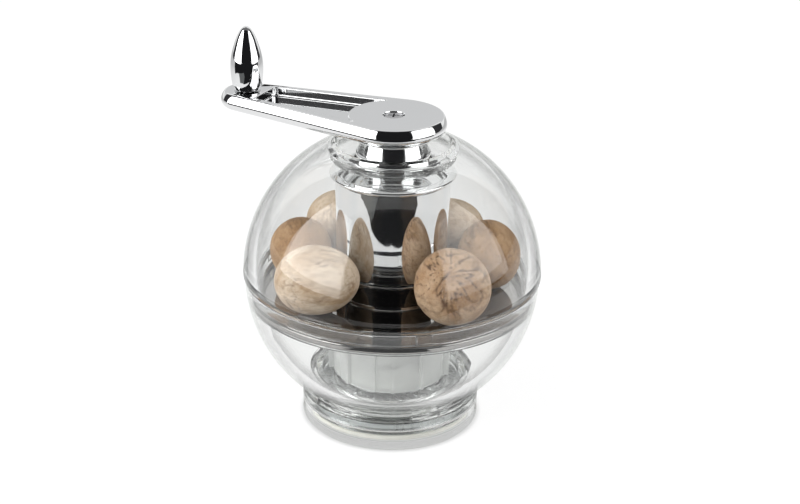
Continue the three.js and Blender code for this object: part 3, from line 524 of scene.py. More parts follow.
def dome_shell():
    """The wall thins towards the crown, and the cup in its top has an even wall with round corners."""
    inner_r = DOME_R - DOME_WALL
    crown_z = ball_z + CROWN_LIFT
    cup_r = RECESS_R + CUP_WALL
    edge_r = RECESS_R + CUP_EDGE
    lip_inner = lip_r - LIP_WALL
    lip_low = seam_z - LIP_LENGTH
    spans = evenly(KEY_COUNT, KEY_AZIMUTH, degrees(KEY_WIDTH / (lip_r + KEY_PROUD)))
    key = raised(spans, KEY_PROUD)
    ball = arc((0, ball_z), DOME_R, asin((seam_z - ball_z) / DOME_R), acos(edge_r / DOME_R), 60)
    edge_z = ball[-1][1]
    cup = [*bezier(ball[-1], (RECESS_R + CUP_EDGE * 0.12, edge_z + CUP_EDGE * 0.3), (RECESS_R, edge_z - CUP_EDGE), 8),
           *bezier((RECESS_R, recess_floor + CUP_FILLET), (RECESS_R, recess_floor),
                   (RECESS_R - CUP_FILLET, recess_floor), 6)]
    beneath = bezier((cup_r - CUP_UNDER, recess_under), (cup_r, recess_under), (cup_r, recess_under + CUP_UNDER), 6)
    inner = arc((0, crown_z), inner_r, acos(cup_r / inner_r), asin((seam_z - crown_z) / inner_r), 50)
    base = eased([(lip_inner, lip_low), (lip_r, lip_low), (lip_r, seam_z), *ball, *cup[1:],
                  (STUB_R + GAP, recess_floor), (STUB_R + GAP, recess_under), *beneath, *inner,
                  (lip_inner, seam_z - (inner_r - lip_inner))], 0.35, 4)
    key_bottom = seam_z - KEY_HEIGHT
    profile = []
    for (r, z), after in zip(base, [*base[1:], base[0]]):
        proud = r - lip_r
        if abs(proud) < 0.02 and z < seam_z - 0.1 and z < key_bottom < after[1] and abs(after[0] - lip_r) < 0.6:
            profile += [(r, z), (lip_r, key_bottom - HAIR), (lip_r, key_bottom + HAIR, key)]
        elif -0.02 < proud < 0.4 and key_bottom < z <= seam_z + 0.01:
            profile.append((r, z, lambda azimuth, proud=proud: max(0, key(azimuth) - proud)))
        else:
            profile.append((r, z))
    shell = swept("dome_shell", "dome", "clear_plastic", DOME_CLEAR, profile, stepped_azimuths(spans))
    shell.data.materials.append(CUP_CLEAR)
    for face in shell.data.polygons:
        in_cup = hypot(face.center.x, face.center.y) < (cup_r + 0.05) * MM
        face.material_index = int(in_cup and face.center.z > (recess_under - 0.1) * MM)


def bowl_shell():
    inner_r = bowl_r - BOWL_WALL
    slot_r = foot_bore_r + GROOVE_DEPTH
    groove_top = groove_bottom + GROOVE_HEIGHT
    key_bottom = seam_z - KEY_HEIGHT - GAP
    rim_top = seam_z - GAP
    ease = 0.2
    chamfer = 0.15

    def angle_at(radius, z):
        return asin((z - ball_z) / radius)

    key_spans = evenly(KEY_COUNT, KEY_AZIMUTH, degrees((KEY_WIDTH + 2 * GAP) / lip_r))
    slot_spans = evenly(LUG_COUNT, LUG_AZIMUTH + TWIST, LUG_SPAN + SLOT_EXTRA)
    keyway = raised(key_spans, lip_r + KEY_PROUD + GAP - rim_bore_r)
    slot = raised(slot_spans, GROOVE_DEPTH)
    foot_join = angle_at(bowl_r, ball_z - across(bowl_r, FOOT_R))
    outside = eased([(foot_bore_r + 2, bowl_bottom), (FOOT_R, bowl_bottom),
                     *arc((0, ball_z), bowl_r, foot_join, angle_at(bowl_r, rim_top), 50),
                     (rim_bore_r + 1.3, rim_top)], 0.3, 4)[2:-2]
    outside = [point for point in outside if point[0] > foot_bore_r + 2.05 or point[1] > bowl_bottom + 1]
    bore_top = angle_at(inner_r, ball_z - across(inner_r, foot_bore_r))
    inner = arc((0, ball_z), inner_r, angle_at(inner_r, ledge_z), bore_top, 44)
    swept("bowl_shell", "bowl", "clear_plastic", BOWL_CLEAR, [
        (foot_bore_r + ease, bowl_bottom, slot), *outside,
        (rim_bore_r + ease, rim_top, keyway), (rim_bore_r + 0.05, rim_top - 0.06, keyway),
        (rim_bore_r, rim_top - ease, keyway), (rim_bore_r, key_bottom + HAIR, keyway),
        (rim_bore_r, key_bottom - HAIR), (rim_bore_r, ledge_z + chamfer), (rim_bore_r - chamfer, ledge_z),
        *inner[1:], (foot_bore_r, groove_top + chamfer), (foot_bore_r + 0.12, groove_top),
        (slot_r - 0.1, groove_top), (slot_r, groove_top - chamfer), (slot_r, groove_bottom + HAIR),
        (foot_bore_r + GROOVE_DEPTH * 0.98, groove_bottom, lambda azimuth: slot(azimuth) * 0.02),
        (foot_bore_r + HAIR, groove_bottom, slot),
        (foot_bore_r, groove_bottom - ease, slot), (foot_bore_r, bowl_bottom + ease, slot),
    ], stepped_azimuths(key_spans + slot_spans))


def feed_tube():
    outer_r = TUBE_R + TUBE_WALL
    fin_mid_r = outer_r + FIN_PROUD / 2
    top = tray_bottom - GAP
    bottom = spigot_top + GAP
    fin_low = bottom + FIN_LIFT
    flange_z = top - TUBE_FLANGE_THICK
    channel = degrees(CHANNEL_WIDTH / 2 / fin_mid_r)
    spans = []
    for i, (azimuth, width) in enumerate(evenly(FIN_COUNT, FIN_AZIMUTH, degrees(FIN_THICK / fin_mid_r))):
        spans += [(azimuth - channel, width), (azimuth + channel, width)] if i % 5 == 0 else [(azimuth, width)]
    fin = raised(spans, FIN_PROUD)
    swept("feed_tube", "bowl", "satin_clear_plastic", TUBE_SATIN, [
        (TUBE_R + 0.2, bottom), (outer_r - 0.2, bottom), (outer_r, bottom + 0.2), (outer_r, fin_low),
        (outer_r, fin_low + HAIR, fin), (outer_r, flange_z - HAIR, fin), (outer_r, flange_z),
        *rim(outer_r + TUBE_FLANGE, flange_z, top, 0.3),
        (TUBE_R + 0.2, top), (TUBE_R, top - 0.2), (TUBE_R, bottom + 0.2),
    ], stepped_azimuths(spans, 120))


def storage_tray():
    edge_r, edge_top = lip_r - TRAY_EDGE_WIDTH, tray_top + TRAY_EDGE_HEIGHT
    turned("storage_tray", "bowl", "chrome", TRAY_CHROME, [
        (TUBE_R, tray_bottom), (lip_r, tray_bottom), (lip_r, edge_top), (edge_r, edge_top), (edge_r, tray_top),
        (tray_neck_r + 0.6, tray_top), (tray_neck_r, tray_top + 0.6), (tray_neck_r, tray_neck_top),
        (TUBE_R, tray_neck_top)], 0.3, 4)


# Foot
def grater_collar():
    pocket_r = plate_r + GAP
    spigot_r = foot_bore_r - GAP
    inner_r = spigot_r - SPIGOT_WALL
    chute_r = TUBE_R + TUBE_WALL
    shelf = plate_top + GAP
    web_top = shelf + COLLAR_WEB
    lug_z = groove_bottom + (GROOVE_HEIGHT - LUG_HEIGHT) / 2
    spans = evenly(LUG_COUNT, LUG_AZIMUTH, LUG_SPAN)
    lug = raised(spans, foot_bore_r + GROOVE_DEPTH - GAP - spigot_r)
    profile = []
    for point in eased([
            (pocket_r, skirt_bottom), (skirt_r, skirt_bottom), (skirt_r, collar_bottom), (FOOT_R, collar_bottom),
            (FOOT_R, collar_top), (spigot_r, collar_top), (spigot_r, lug_z), (spigot_r, spigot_top),
            (inner_r, spigot_top), (inner_r, web_top), (chute_r, web_top), (chute_r, spigot_top),
            (TUBE_R, spigot_top), (TUBE_R, shelf), (pocket_r, shelf)], 0.22):
        if abs(point[0] - spigot_r) < 1e-4 and abs(point[1] - lug_z) < 1e-4:
            lug_top = lug_z + LUG_HEIGHT
            profile += [(spigot_r, lug_z - HAIR), (spigot_r, lug_z + HAIR, lug), (spigot_r, lug_top - HAIR, lug),
                        (spigot_r, lug_top + HAIR)]
        else:
            profile.append(point)
    swept("grater_collar", "grater", "clear_plastic", COLLAR_CLEAR, profile, stepped_azimuths(spans))


def grater_plate():
    """Punched plate with a turned-down edge; each tooth is a burr round its hole."""
    made = Builder()
    under = plate_top - PLATE_THICK
    inner_r = plate_r - PLATE_THICK
    rim_z = plate_top - PLATE_RIM
    outer = made.rings(120, (
        (inner_r, under), (inner_r, rim_z + 0.1), (inner_r + 0.1, rim_z), (plate_r - 0.1, rim_z),
        (plate_r, rim_z + 0.1), (plate_r, plate_top - 0.5), (plate_r - 0.12, plate_top - 0.2),
        (plate_r - 0.5, plate_top)))
    made.tube(outer)
    top_holes, under_holes = [], []
    for ring, count in enumerate(TOOTH_RINGS):
        radius = (TUBE_R - TOOTH_MARGIN - TOOTH_BASE_R) * (ring + 1) / len(TOOTH_RINGS)
        for k in range(count):
            x, y = centre = polar(radius, rad(180 / count * ring + 360 * k / count))
            foot = (TOOTH_BASE_R, plate_top), (TOOTH_BASE_R - 0.18, plate_top + 0.18)
            burr = made.rings(TOOTH_SIDES, foot, centre)
            tips = []
            for j in range(TOOTH_SIDES):
                angle = 2 * pi * j / TOOTH_SIDES
                up = 0.12 * cos(5 * angle + ring) + 0.05 * noise.noise(Vector((x, y, 0)) * 3 + Vector((j, 0, 0)))
                tips.append((*polar(TOOTH_TOP_R, angle, centre), plate_top + TOOTH_HEIGHT - 0.17 + up))
            burr += [made.loop(tips), made.loop([(x + (a - x) * 0.86, y + (b - y) * 0.86, z - 0.04)
                                                 for a, b, z in tips])]
            burr += made.rings(TOOTH_SIDES, ((TOOTH_HOLE_R, plate_top), (TOOTH_HOLE_R, under)), centre)
            made.tube(burr)
            top_holes.append(burr[0])
            under_holes.append(burr[-1])
    made.fill(outer[-1], top_holes)
    made.fill(outer[0], under_holes)
    made.piece("grater_plate", "grater", "steel", PLATE_STEEL, 40)


def foot_rings():
    turned("plate_retaining_ring", "grater", "steel", RING_STEEL,
           block(plate_r - RING_WIDTH, plate_r, skirt_bottom, ring_top), 0.2)
    inner_r = FOOT_R - CAP_WALL
    turned("base_cap", "cap", "clear_plastic", CAP_CLEAR, [
        (0, 0), (FOOT_R - CAP_EDGE, 0), (FOOT_R, CAP_EDGE), (FOOT_R, CAP_HEIGHT), (inner_r, CAP_HEIGHT),
        (inner_r, CAP_FLOOR), (0, CAP_FLOOR)], 0.3, 4)
    bottom = CAP_FLOOR + GAP
    liner_r = inner_r - 1.3 * GAP
    turned("cap_liner", "cap", "cream_plastic", LINER_CREAM, [
        (0, bottom), (liner_r, bottom), (liner_r, liner_top), (liner_r - LINER_RIM, liner_top),
        (liner_r - LINER_RIM, bottom + LINER_THICK), (0, bottom + LINER_THICK)], 0.15)


# Column and neck
def column_and_neck():
    turned("column_tube", "dome", "chrome", COLUMN_CHROME,
           block(column_r - COLUMN_WALL, column_r, column_bottom, column_top))
    shoulder_top = cone_bottom + SHOULDER_HEIGHT
    hole_r = bush_r + GAP
    turned("column_cap", "dome", "chrome", CAP_CHROME, [
        (hole_r, plug_bottom), (plug_r, plug_bottom), (plug_r, cone_bottom),
        (shoulder_r - SHOULDER_EDGE, cone_bottom), (shoulder_r, cone_bottom + SHOULDER_EDGE / 2),
        (shoulder_r, shoulder_top - SHOULDER_EDGE),
        *bezier((shoulder_r - SHOULDER_EDGE * 2, shoulder_top), (CONE_TOP_R + 1.2, shoulder_top + 0.7),
                (CONE_TOP_R, cone_top), 18),
        (STUB_R, cone_top), (STUB_R, stub_top), (hole_r, stub_top)], 0.45, 5)
    flange_top = neck_bottom + FLANGE_THICK
    inner_r = STUB_R + GAP
    roof = stub_top + GAP
    turned("neck_collar", "dome", "chrome", NECK_CHROME, [
        (inner_r, neck_bottom), (FLANGE_R, neck_bottom), (FLANGE_R, flange_top),
        *bezier((FLANGE_R - 0.25, flange_top + 0.25), (WAIST_R + 0.3, flange_top + 1.9),
                (WAIST_R + 0.05, neck_top - 1.9), 10),
        *bezier((WAIST_R, neck_top - 1.7), (WAIST_R + 0.1, neck_top - 0.8), (FLARE_R, neck_top - 0.55), 12),
        (FLARE_R, neck_top), (hole_r, neck_top), (hole_r, roof), (inner_r, roof)], 0.3, 4)
    hole_r = JOURNAL_R + GAP
    turned("neck_bush", "dome", "white_plastic", BUSH_WHITE, [
        (hole_r, bush_bottom), (BUSH_FLANGE_R, bush_bottom), (BUSH_FLANGE_R, bush_flange_top),
        (bush_r, bush_flange_top), (bush_r, neck_top - GAP), (hole_r, neck_top - GAP)], 0.2, segments=72)
    turned("spring_seat", "dome", "steel", FAST_STEEL,
           block(BUSH_FLANGE_R + GAP, seat_r, bush_bottom, bush_flange_top), 0.15, segments=96)


# Crank
def between(a, b, steps=24):
    return [(a[0] + (b[0] - a[0]) * i / steps, a[1] + (b[1] - a[1]) * i / steps) for i in range(1, steps)]


def arm_outline(hub_inset, end_inset):
    hub_r, end_r = HUB_R - hub_inset, END_R - end_inset
    lean = pi / 2 + asin((hub_r - end_r) / ARM_LENGTH)
    hub = arc((0, 0), hub_r, -lean, lean, 72)
    end = arc(KNOB_AXIS, end_r, lean, 2 * pi - lean, 40)
    return [*hub, *between(hub[-1], end[0]), *end, *between(end[-1], hub[0])]


def arm_side():
    """Side of the arm from the top's flat down: a round edge, a leaning band, its widest line and the belly.
    Gives the hub's inset, the end's inset and the depth."""
    points = [(0.0, 0.0)]
    for start, end, radius, steps in ((90, 26, 0.4, 6), (26, 12, 7.4, 8), (12, -2, 2.6, 8), (-2, -78, 2.2, 12)):
        for k in range(steps):
            a, b = (rad(start + (end - start) * i / steps) for i in (k, k + 1))
            points.append((points[-1][0] - radius * (cos(b) - cos(a)), points[-1][1] + radius * (sin(a) - sin(b))))
    widest = min(drawn for drawn, _ in points)
    side = []
    for drawn, depth in points:
        inset, depth = (drawn - widest) * 1.12, depth * ARM_THICK / points[-1][1]
        side.append((inset, inset * (1 + 0.4 * max(0.0, 1 - depth / 2.4)), depth))
    return side


def pocket_outline(inset):
    """Pocket drawn in by inset, with its corners rounded."""
    hub_x = across(POCKET_HUB_R, POCKET_HUB_HALF)
    slope = (POCKET_HUB_HALF - POCKET_END_HALF) / (POCKET_END - hub_x)
    hub_half = POCKET_HUB_HALF - inset * hypot(1, slope)
    hub_r, far = POCKET_HUB_R + inset, POCKET_END - inset
    far_half = hub_half - slope * (far - hub_x)
    reach = across(hub_r, hub_half)
    span = asin(hub_half / hub_r)
    corners = [(-reach, hub_half), (-far, far_half), (-far, -far_half), (-reach, -hub_half),
               *arc((0, 0), hub_r, pi + span, pi - span, 30)[1:-1]]
    outline = []
    for i, radius in enumerate((0.5, 1.3, 1.3, 0.5)):
        outline += rounding(corners[i - 1], corners[i], corners[i + 1], radius - inset * 0.3, 0.45, 8, False)
    return outline + corners[4:]


def square_ring(builder, half, z, count=48, corner=0.35):
    """Square with small round corners, as a loop."""
    flat = half - corner
    points = []
    for x, y in circle(1, count):
        less, more = sorted((abs(x), abs(y)))
        reach = half / more
        if less * reach > flat:
            reach = flat * (less + more) + sqrt(corner ** 2 - (flat * (more - less)) ** 2)
        points.append((reach * x, reach * y))
    return builder.loop(points, z)


def crank_arm():
    made = Builder()
    side = [made.loop(arm_outline(hub, end), arm_top - depth) for hub, end, depth in reversed(arm_side())]
    made.tube(side)
    floor_z = arm_top - POCKET_DEPTH
    quarter = [polar(1, pi / 2 * i / 4) for i in range(5)]
    pocket = [made.loop(pocket_outline(-POCKET_EDGE * (1 - up)), arm_top - POCKET_EDGE * (1 - out))
              for out, up in quarter]
    pocket += [made.loop(pocket_outline(POCKET_FILLET * (1 - out)), floor_z + POCKET_FILLET * (1 - up))
               for out, up in quarter]
    made.tube(pocket)
    hole_floor = arm_top - SCREW_HOLE_DEPTH
    hole_r = SCREW_SHANK_R + GAP
    screw = made.rings(64, (
        (SCREW_HOLE_R + 0.25, arm_top), (SCREW_HOLE_R + 0.08, arm_top - 0.07), (SCREW_HOLE_R, arm_top - 0.25),
        (SCREW_HOLE_R, hole_floor + 0.1), (SCREW_HOLE_R - 0.1, hole_floor), (hole_r, hole_floor)))
    made.tube(screw)
    pin_r, head_r = KNOB_PIN_R + GAP, PIN_HEAD_R + GAP
    pin = made.rings(48, ((pin_r + 0.15, arm_top), (pin_r, arm_top - 0.15)), KNOB_AXIS)
    socket_top = arm_bottom + SOCKET_DEPTH
    shank_low = made.ring(hole_r, socket_top, 64)
    made.bridge(screw[-1], shank_low)
    socket = [square_ring(made, SQUARE / 2 + GAP, z) for z in (socket_top, arm_bottom)]
    made.tube(socket)
    made.fill(socket[0], [shank_low])
    head_z = arm_bottom + PIN_HEAD + 2 * GAP
    pin += made.rings(48, ((pin_r, head_z), (head_r, head_z), (head_r, arm_bottom)), KNOB_AXIS)
    made.tube(pin)
    made.fill(side[-1], [pocket[0], screw[0], pin[0]])
    made.fill(pocket[-1])
    made.fill(side[0], [socket[-1], pin[-1]])
    made.piece("crank_arm", "crank", "chrome", ARM_CHROME, 40, True)


def cross_outline(long, half):
    """Cross shaped driver recess."""
    points = []
    for turn in (quarter * pi / 2 + rad(20) for quarter in range(4)):
        for x, y in ((long, -half * 0.75), (long, half * 0.75), (half * 1.15, half), (half, half * 1.15)):
            points.append((x * cos(turn) - y * sin(turn), x * sin(turn) + y * cos(turn)))
    return points


def crank_screw():
    made = Builder()
    head = arm_top - SCREW_HOLE_DEPTH + GAP
    tip = head - SCREW_LENGTH
    top = head + SCREW_HEAD
    r = SCREW_HOLE_R - GAP
    rings = [made.loop([(0, 0, tip)]), *made.rings(64, (
        (SCREW_SHANK_R - 0.2, tip), (SCREW_SHANK_R, tip + 0.3), (SCREW_SHANK_R, head), (r - 0.1, head),
        (r, head + 0.1), (r, head + SCREW_HEAD * 0.45), (r - 0.12, head + SCREW_HEAD * 0.68),
        (r - 0.38, head + SCREW_HEAD * 0.86), (r * 0.72, top - 0.03), (r * 0.66, top)))]
    made.tube(rings)
    recess = [made.loop(cross_outline(r * long, 0.27 * half), z) for long, half, z in (
        (0.58, 1.12, top), (0.54, 1.0, top - 0.12), (0.36, 0.9, top - 0.85))]
    made.tube(recess)
    made.fill(rings[-1], [recess[0]])
    made.fill(recess[-1])
    made.piece("crank_screw", "crank", "steel", FAST_STEEL, 35)


def drive_shaft():
    """Square shaft with a round journal and thrust collar, bored at both ends for its screws."""
    made = Builder()
    top = arm_bottom + SOCKET_DEPTH - GAP
    journal_top = arm_bottom - GAP
    bore_top = shaft_bottom + STOP_LENGTH
    half, top_half = SQUARE / 2, SQUARE / 2 - 0.2
    bore = made.rings(64, ((STOP_SHANK_R + GAP, bore_top), (STOP_SHANK_R + GAP, shaft_bottom)))
    bore_end = made.loop([(0, 0, bore_top)])
    square = [square_ring(made, half - inset, z, 64, 0.5) for inset, z in (
        (0.25, shaft_bottom), (0, shaft_bottom + 0.3), (0, thrust_bottom))]
    journal = made.rings(64, (
        *rim(THRUST_R, thrust_bottom, thrust_top, 0.15), (JOURNAL_R + 0.1, thrust_top), (JOURNAL_R, thrust_top + 0.1),
        (JOURNAL_R, journal_top - 0.15), (JOURNAL_R - 0.15, journal_top)))
    upper = [square_ring(made, top_half - inset, z, 64, 0.4) for inset, z in (
        (0, journal_top), (0, top - 0.2), (0.2, top))]
    hole = made.rings(64, ((SCREW_SHANK_R + GAP, top), (SCREW_SHANK_R + GAP, top - SCREW_LENGTH)))
    made.tube([bore_end, *bore, *square, *journal, *upper, *hole, made.loop([(0, 0, top - SCREW_LENGTH)])])
    made.piece("drive_shaft", "crank", "steel", SPRING_STEEL, 30)


def stop_pieces():
    turned("stop_washer", "crank", "steel", FAST_STEEL, block(STOP_SHANK_R + GAP, STOP_R, stop_bottom, stop_top),
           0.2, segments=72)
    top = stop_bottom - GAP
    low = top - STOP_HEAD
    made = Builder()
    slot = [(1.5, -0.25), (1.5, 0.25), (-1.5, 0.25), (-1.5, -0.25)]
    floor = made.loop(slot, low + 0.7)
    mouth = made.loop(slot, low)
    made.bridge(floor, mouth)
    rings = made.rings(48, (
        (STOP_HEAD_R - 0.4, low), (STOP_HEAD_R - 0.1, low + 0.2), (STOP_HEAD_R, low + 0.5), (STOP_HEAD_R, top - 0.1),
        (STOP_HEAD_R - 0.1, top), (STOP_SHANK_R, top), (STOP_SHANK_R, top + STOP_LENGTH - 0.3),
        (STOP_SHANK_R - 0.2, top + STOP_LENGTH)))
    made.tube([*rings, made.loop([(0, 0, top + STOP_LENGTH)])])
    made.fill(rings[0], [mouth])
    made.fill(floor)
    made.piece("stop_screw", "crank", "steel", FAST_STEEL, 35)


def knob_pieces():
    low = arm_bottom + GAP
    top = arm_top + KNOB_PIN_LENGTH
    turned("knob_pin", "crank", "steel", FAST_STEEL, [
        (0, low), (PIN_HEAD_R, low), (PIN_HEAD_R, low + PIN_HEAD), (KNOB_PIN_R, low + PIN_HEAD),
        (KNOB_PIN_R, top), (0, top)], 0.25, 3, KNOB_AXIS, 64)
    foot = arm_top + GAP
    bore_r = KNOB_PIN_R + GAP
    stations = [Vector(point) for point in KNOB_STATIONS]
    side = []
    for a, b, c, d in zip(stations, stations[1:], stations[2:], stations[3:]):
        for t in (k / KNOB_STEPS for k in range(KNOB_STEPS)):
            point = 0.5 * (2 * b + (c - a) * t + (2 * a - 5 * b + 4 * c - d) * t * t
                           + (3 * b - a - 3 * c + d) * t ** 3)
            side.append((point.y, foot + point.x))
    turned("crank_knob", "knob", "chrome", KNOB_CHROME, [
        (0, top + GAP), (bore_r, top + GAP), (bore_r, foot), (3.1, foot), *side[1:],
        (0, foot + KNOB_HEIGHT)], 0.2, 3, KNOB_AXIS, 96, sharp=50)


# Press
def press():
    made = Builder()
    floor = press_bottom + PRESS_WEB
    lip = sleeve_top - SLEEVE_LIP
    outside = [made.loop([(0, 0, press_bottom)]), *made.rings(72, (
        *rim(press_r, press_bottom, press_top, 0.3), (SLEEVE_R + 1, press_top), (SLEEVE_R + 0.3, press_top + 0.3),
        (SLEEVE_R, press_top + 1), (SLEEVE_R, sleeve_top - 0.3), (SLEEVE_R - 0.3, sleeve_top)))]
    square = [square_ring(made, SQUARE / 2 + GAP, z, 72, 0.45) for z in (sleeve_top, lip)]
    bore = made.rings(72, ((sleeve_bore_r, lip), (sleeve_bore_r, floor)))
    made.tube([*outside, *square, *bore, made.loop([(0, 0, floor)])])
    made.piece("press", "press", "white_plastic", PRESS_WHITE, 30)


def claw_plate():
    made = Builder()
    rings = made.rings(96, rim(CLAW_DISC_R, claw_bottom, claw_bottom + CLAW_PLATE_THICK, 0.12))
    made.tube(rings)
    made.fill(rings[-1])
    roots = []
    for count, radius, first in CLAW_RINGS:
        for k in range(count):
            centre = polar(radius, rad(first + 360 * k / count))
            claw = made.rings(20, (
                (CLAW_BASE_R * 0.86, claw_bottom), (CLAW_BASE_R * 0.5, claw_bottom - CLAW_LENGTH / 2),
                (CLAW_BASE_R * 0.12, claw_tip + 0.08)), centre)
            made.tube([made.loop([(*centre, claw_tip)]), *reversed(claw)])
            roots.append(claw[0])
    made.fill(rings[0], roots)
    made.piece("claw_plate", "press", "steel", FAST_STEEL, 35)


def press_spring():
    """Wire of the compression spring, with a close-wound curl and a ground end at each seat."""
    bottom = press_top + GAP + WIRE / 2
    top = bush_bottom - GAP - WIRE / 2
    live_curls = CURLS - 2 * DEAD_CURLS
    live_pitch = (top - bottom - 2 * DEAD_CURLS * DEAD_PITCH) / live_curls
    centres = []
    for turns in (i / CURL_STEPS for i in range(CURLS * CURL_STEPS + 1)):
        z = (bottom + min(turns, DEAD_CURLS) * DEAD_PITCH + min(max(turns - DEAD_CURLS, 0), live_curls) * live_pitch
             + max(turns - (CURLS - DEAD_CURLS), 0) * DEAD_PITCH)
        centres.append(Vector((*polar(COIL_R, 2 * pi * turns), z)))
    made = Builder()
    loops = []
    for i, centre in enumerate(centres):
        tangent = (centres[min(i + 1, len(centres) - 1)] - centres[max(i - 1, 0)]).normalized()
        outward = Vector((centre.x, centre.y, 0))
        outward = (outward - tangent * outward.dot(tangent)).normalized()
        upward = tangent.cross(outward)
        loops.append(made.loop([tuple(centre + outward * x + upward * y) for x, y in circle(WIRE / 2, WIRE_SIDES)]))
    start, end = (made.loop([tuple(centres[place])]) for place in (0, -1))
    made.tube([start, *loops, end])
    piece = made.piece("press_spring", "crank", "steel", SPRING_STEEL, 40)
    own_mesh(piece)


# Nutmegs: azimuth, distance, turn and half sizes as in the source, then the look of each
NUTMEGS = (
    (-110.6, 0.966, 28.6, (1, 0.78, 0.844), "pale"),
    (151.7, 0.963, 64.6, (0.936, 0.835, 0.844), "pale"),
    (-160.1, 0.94, 118.6, (0.881, 0.798, 0.807), "brown"),
    (-28.1, 0.978, 118.6, (0.927, 0.89, 0.899), "eye"),
    (76, 0.966, 166, (0.954, 0.807, 0.761), "pale"),
    (26.4, 0.981, 118.6, (0.954, 0.798, 0.844), "brown"),
)
NUTMEG_TAPER = 0.08
# Each look: pale skin, warm brown, the dark tone of the creases (partly the furrows' own colour, partly painted
# shade) and a bias.
TONES = {
    "pale": ((0.64, 0.52, 0.40), (0.46, 0.32, 0.20), (0.20, 0.12, 0.07), -0.05),
    "brown": ((0.50, 0.33, 0.19), (0.34, 0.20, 0.10), (0.13, 0.07, 0.035), 0.02),
    "eye": ((0.54, 0.38, 0.25), (0.38, 0.23, 0.125), (0.09, 0.045, 0.025), 0.0),
}
EYE_AXIS = Vector((-0.769, 0.25, 0.588)).normalized()
EYE_LEFT = EYE_AXIS.cross(UP).normalized()
EYE_UP = EYE_LEFT.cross(EYE_AXIS)


def line_of(value, width, power):
    """Height of a line that runs where noise changes its sign."""
    return max(0.0, 1 - abs(value) / width) ** power


def crease_at(direction, seed, eye):
    """How deep the skin lies at a direction from the nutmeg's middle, 0 to 1."""
    shift = Vector((seed * 7.3, seed * 3.1, seed * 5.7))
    bend = Vector([noise.noise(place) for place in (direction * 1.8 + shift, direction * 1.8 - shift,
                                                    direction * 2.1 + shift * 2)])
    patches = min(1.0, max(0.0, 0.42 + 1.5 * noise.noise(direction * 1.6 - shift * 3)))
    fold = noise.noise(Vector((direction.x * 0.9, direction.y * 3.6, direction.z * 3.6)) + bend * 0.7 + shift)
    fine = noise.noise(Vector((direction.x * 2.6, direction.y * 11, direction.z * 11)) + bend * 1.5 - shift)
    depth = 0.34 * line_of(fold, 0.2, 2) * patches + 0.3 * line_of(fine, 0.3, 1.5) * (0.25 + 0.75 * patches)
    if eye:
        off_axis = acos(max(-1.0, min(1.0, direction.dot(EYE_AXIS))))
        left, up = direction.dot(EYE_LEFT), direction.dot(EYE_UP)
        wander = Vector((*polar(2.6, atan2(up, left)), off_axis * 1.1)) + shift
        reach = max(0.0, 1 - abs(off_axis - 0.5) / 0.9)
        depth = depth * 0.8 + line_of(noise.noise(wander * 1.5), 0.13, 1.5) * reach * 0.8
        slit = hypot((left * 0.95 + up * 0.3 + 0.04 * sin(9 * up)) * 6.5, (up * 0.95 - left * 0.3) * 1.7)
        if off_axis < 1.2:
            depth += max(0.0, 1 - slit / 0.42)
    return min(max(depth, 0.0), 1.0)


def nutmeg(number, azimuth, distance, turn, half, tone):
    ball = bmesh.new()
    bmesh.ops.create_icosphere(ball, subdivisions=6, radius=1)
    size = [share * ring_half for share in half]
    spin = Matrix.Rotation(rad(turn), 3, "Z")
    seat = tray_top + GAP + size[2] * (1 + NUTMEG_TAPER * 0.1)
    middle = Vector((*polar(distance * ring_mid_r, rad(azimuth)), seat))
    creases, grains = [], []
    for corner in ball.verts:
        direction = corner.co.normalized()
        crease = crease_at(direction, number, tone == "eye")
        slim = 1 - NUTMEG_TAPER * direction.x
        swell = 0.012 * noise.noise(direction * 1.4 + Vector((number - 1, 0, 0)))
        scale = 1 - 0.012 - 0.034 * crease + swell
        point = Vector((direction.x * size[0], direction.y * size[1] * slim, direction.z * size[2] * slim))
        corner.co = (middle + spin @ (point * scale)) * MM
        creases.append(crease)
        grains.extend(direction)
    node = f"nutmeg_{number}"
    mesh = bpy.data.meshes.new(node + "_look")
    ball.to_mesh(mesh)
    ball.free()
    mesh.shade_smooth()
    mesh.attributes.new("crease", "FLOAT", "POINT").data.foreach_set("value", creases)
    mesh.attributes.new("grain", "FLOAT_VECTOR", "POINT").data.foreach_set("vector", grains)
    mesh.materials.append(nutmeg_skin(f"nutmeg_skin_{number}", *TONES[tone], lay=(number - 1) * 3.7))
    standing_in(linked(mesh.name, mesh), node, "bowl")


for build in (dome_shell, bowl_shell, feed_tube, storage_tray, grater_collar, grater_plate, foot_rings,
              column_and_neck, crank_arm, crank_screw, drive_shaft, stop_pieces, knob_pieces, press, claw_plate,
              press_spring):
    build()
for number, row in enumerate(NUTMEGS, 1):
    nutmeg(number, *row)


# Studio
def compass(azimuth, elevation, distance, height=AIM_HEIGHT):
    """Point at an azimuth that is measured from the photograph's right, seen from the mill."""
    across_floor = polar(distance * cos(rad(elevation)), rad(azimuth + 90 + FRONT))
    return Vector((*across_floor, height + distance * sin(rad(elevation))))


def softbox(name, azimuth, wide, low, high, level, distance=0.8, height=0.06):
    """Upright softbox, given by the angles at which the mill sees its sides, lower and upper edge."""
    lamp = bpy.data.lights.new(name, "AREA")
    lamp.shape = "RECTANGLE"
    bottom, top = (height + distance * tan(rad(angle)) for angle in (low, high))
    lamp.size = 2 * distance * tan(rad(wide / 2))
    lamp.size_y = top - bottom
    lamp.energy = level * pi * lamp.size * lamp.size_y
    made = linked(name, lamp)
    made.location = compass(azimuth, 0, distance, (bottom + top) / 2)
    made.rotation_euler = Vector((-made.location.x, -made.location.y, 0)).to_track_quat("-Z", "Y").to_euler()
    made.visible_camera = False


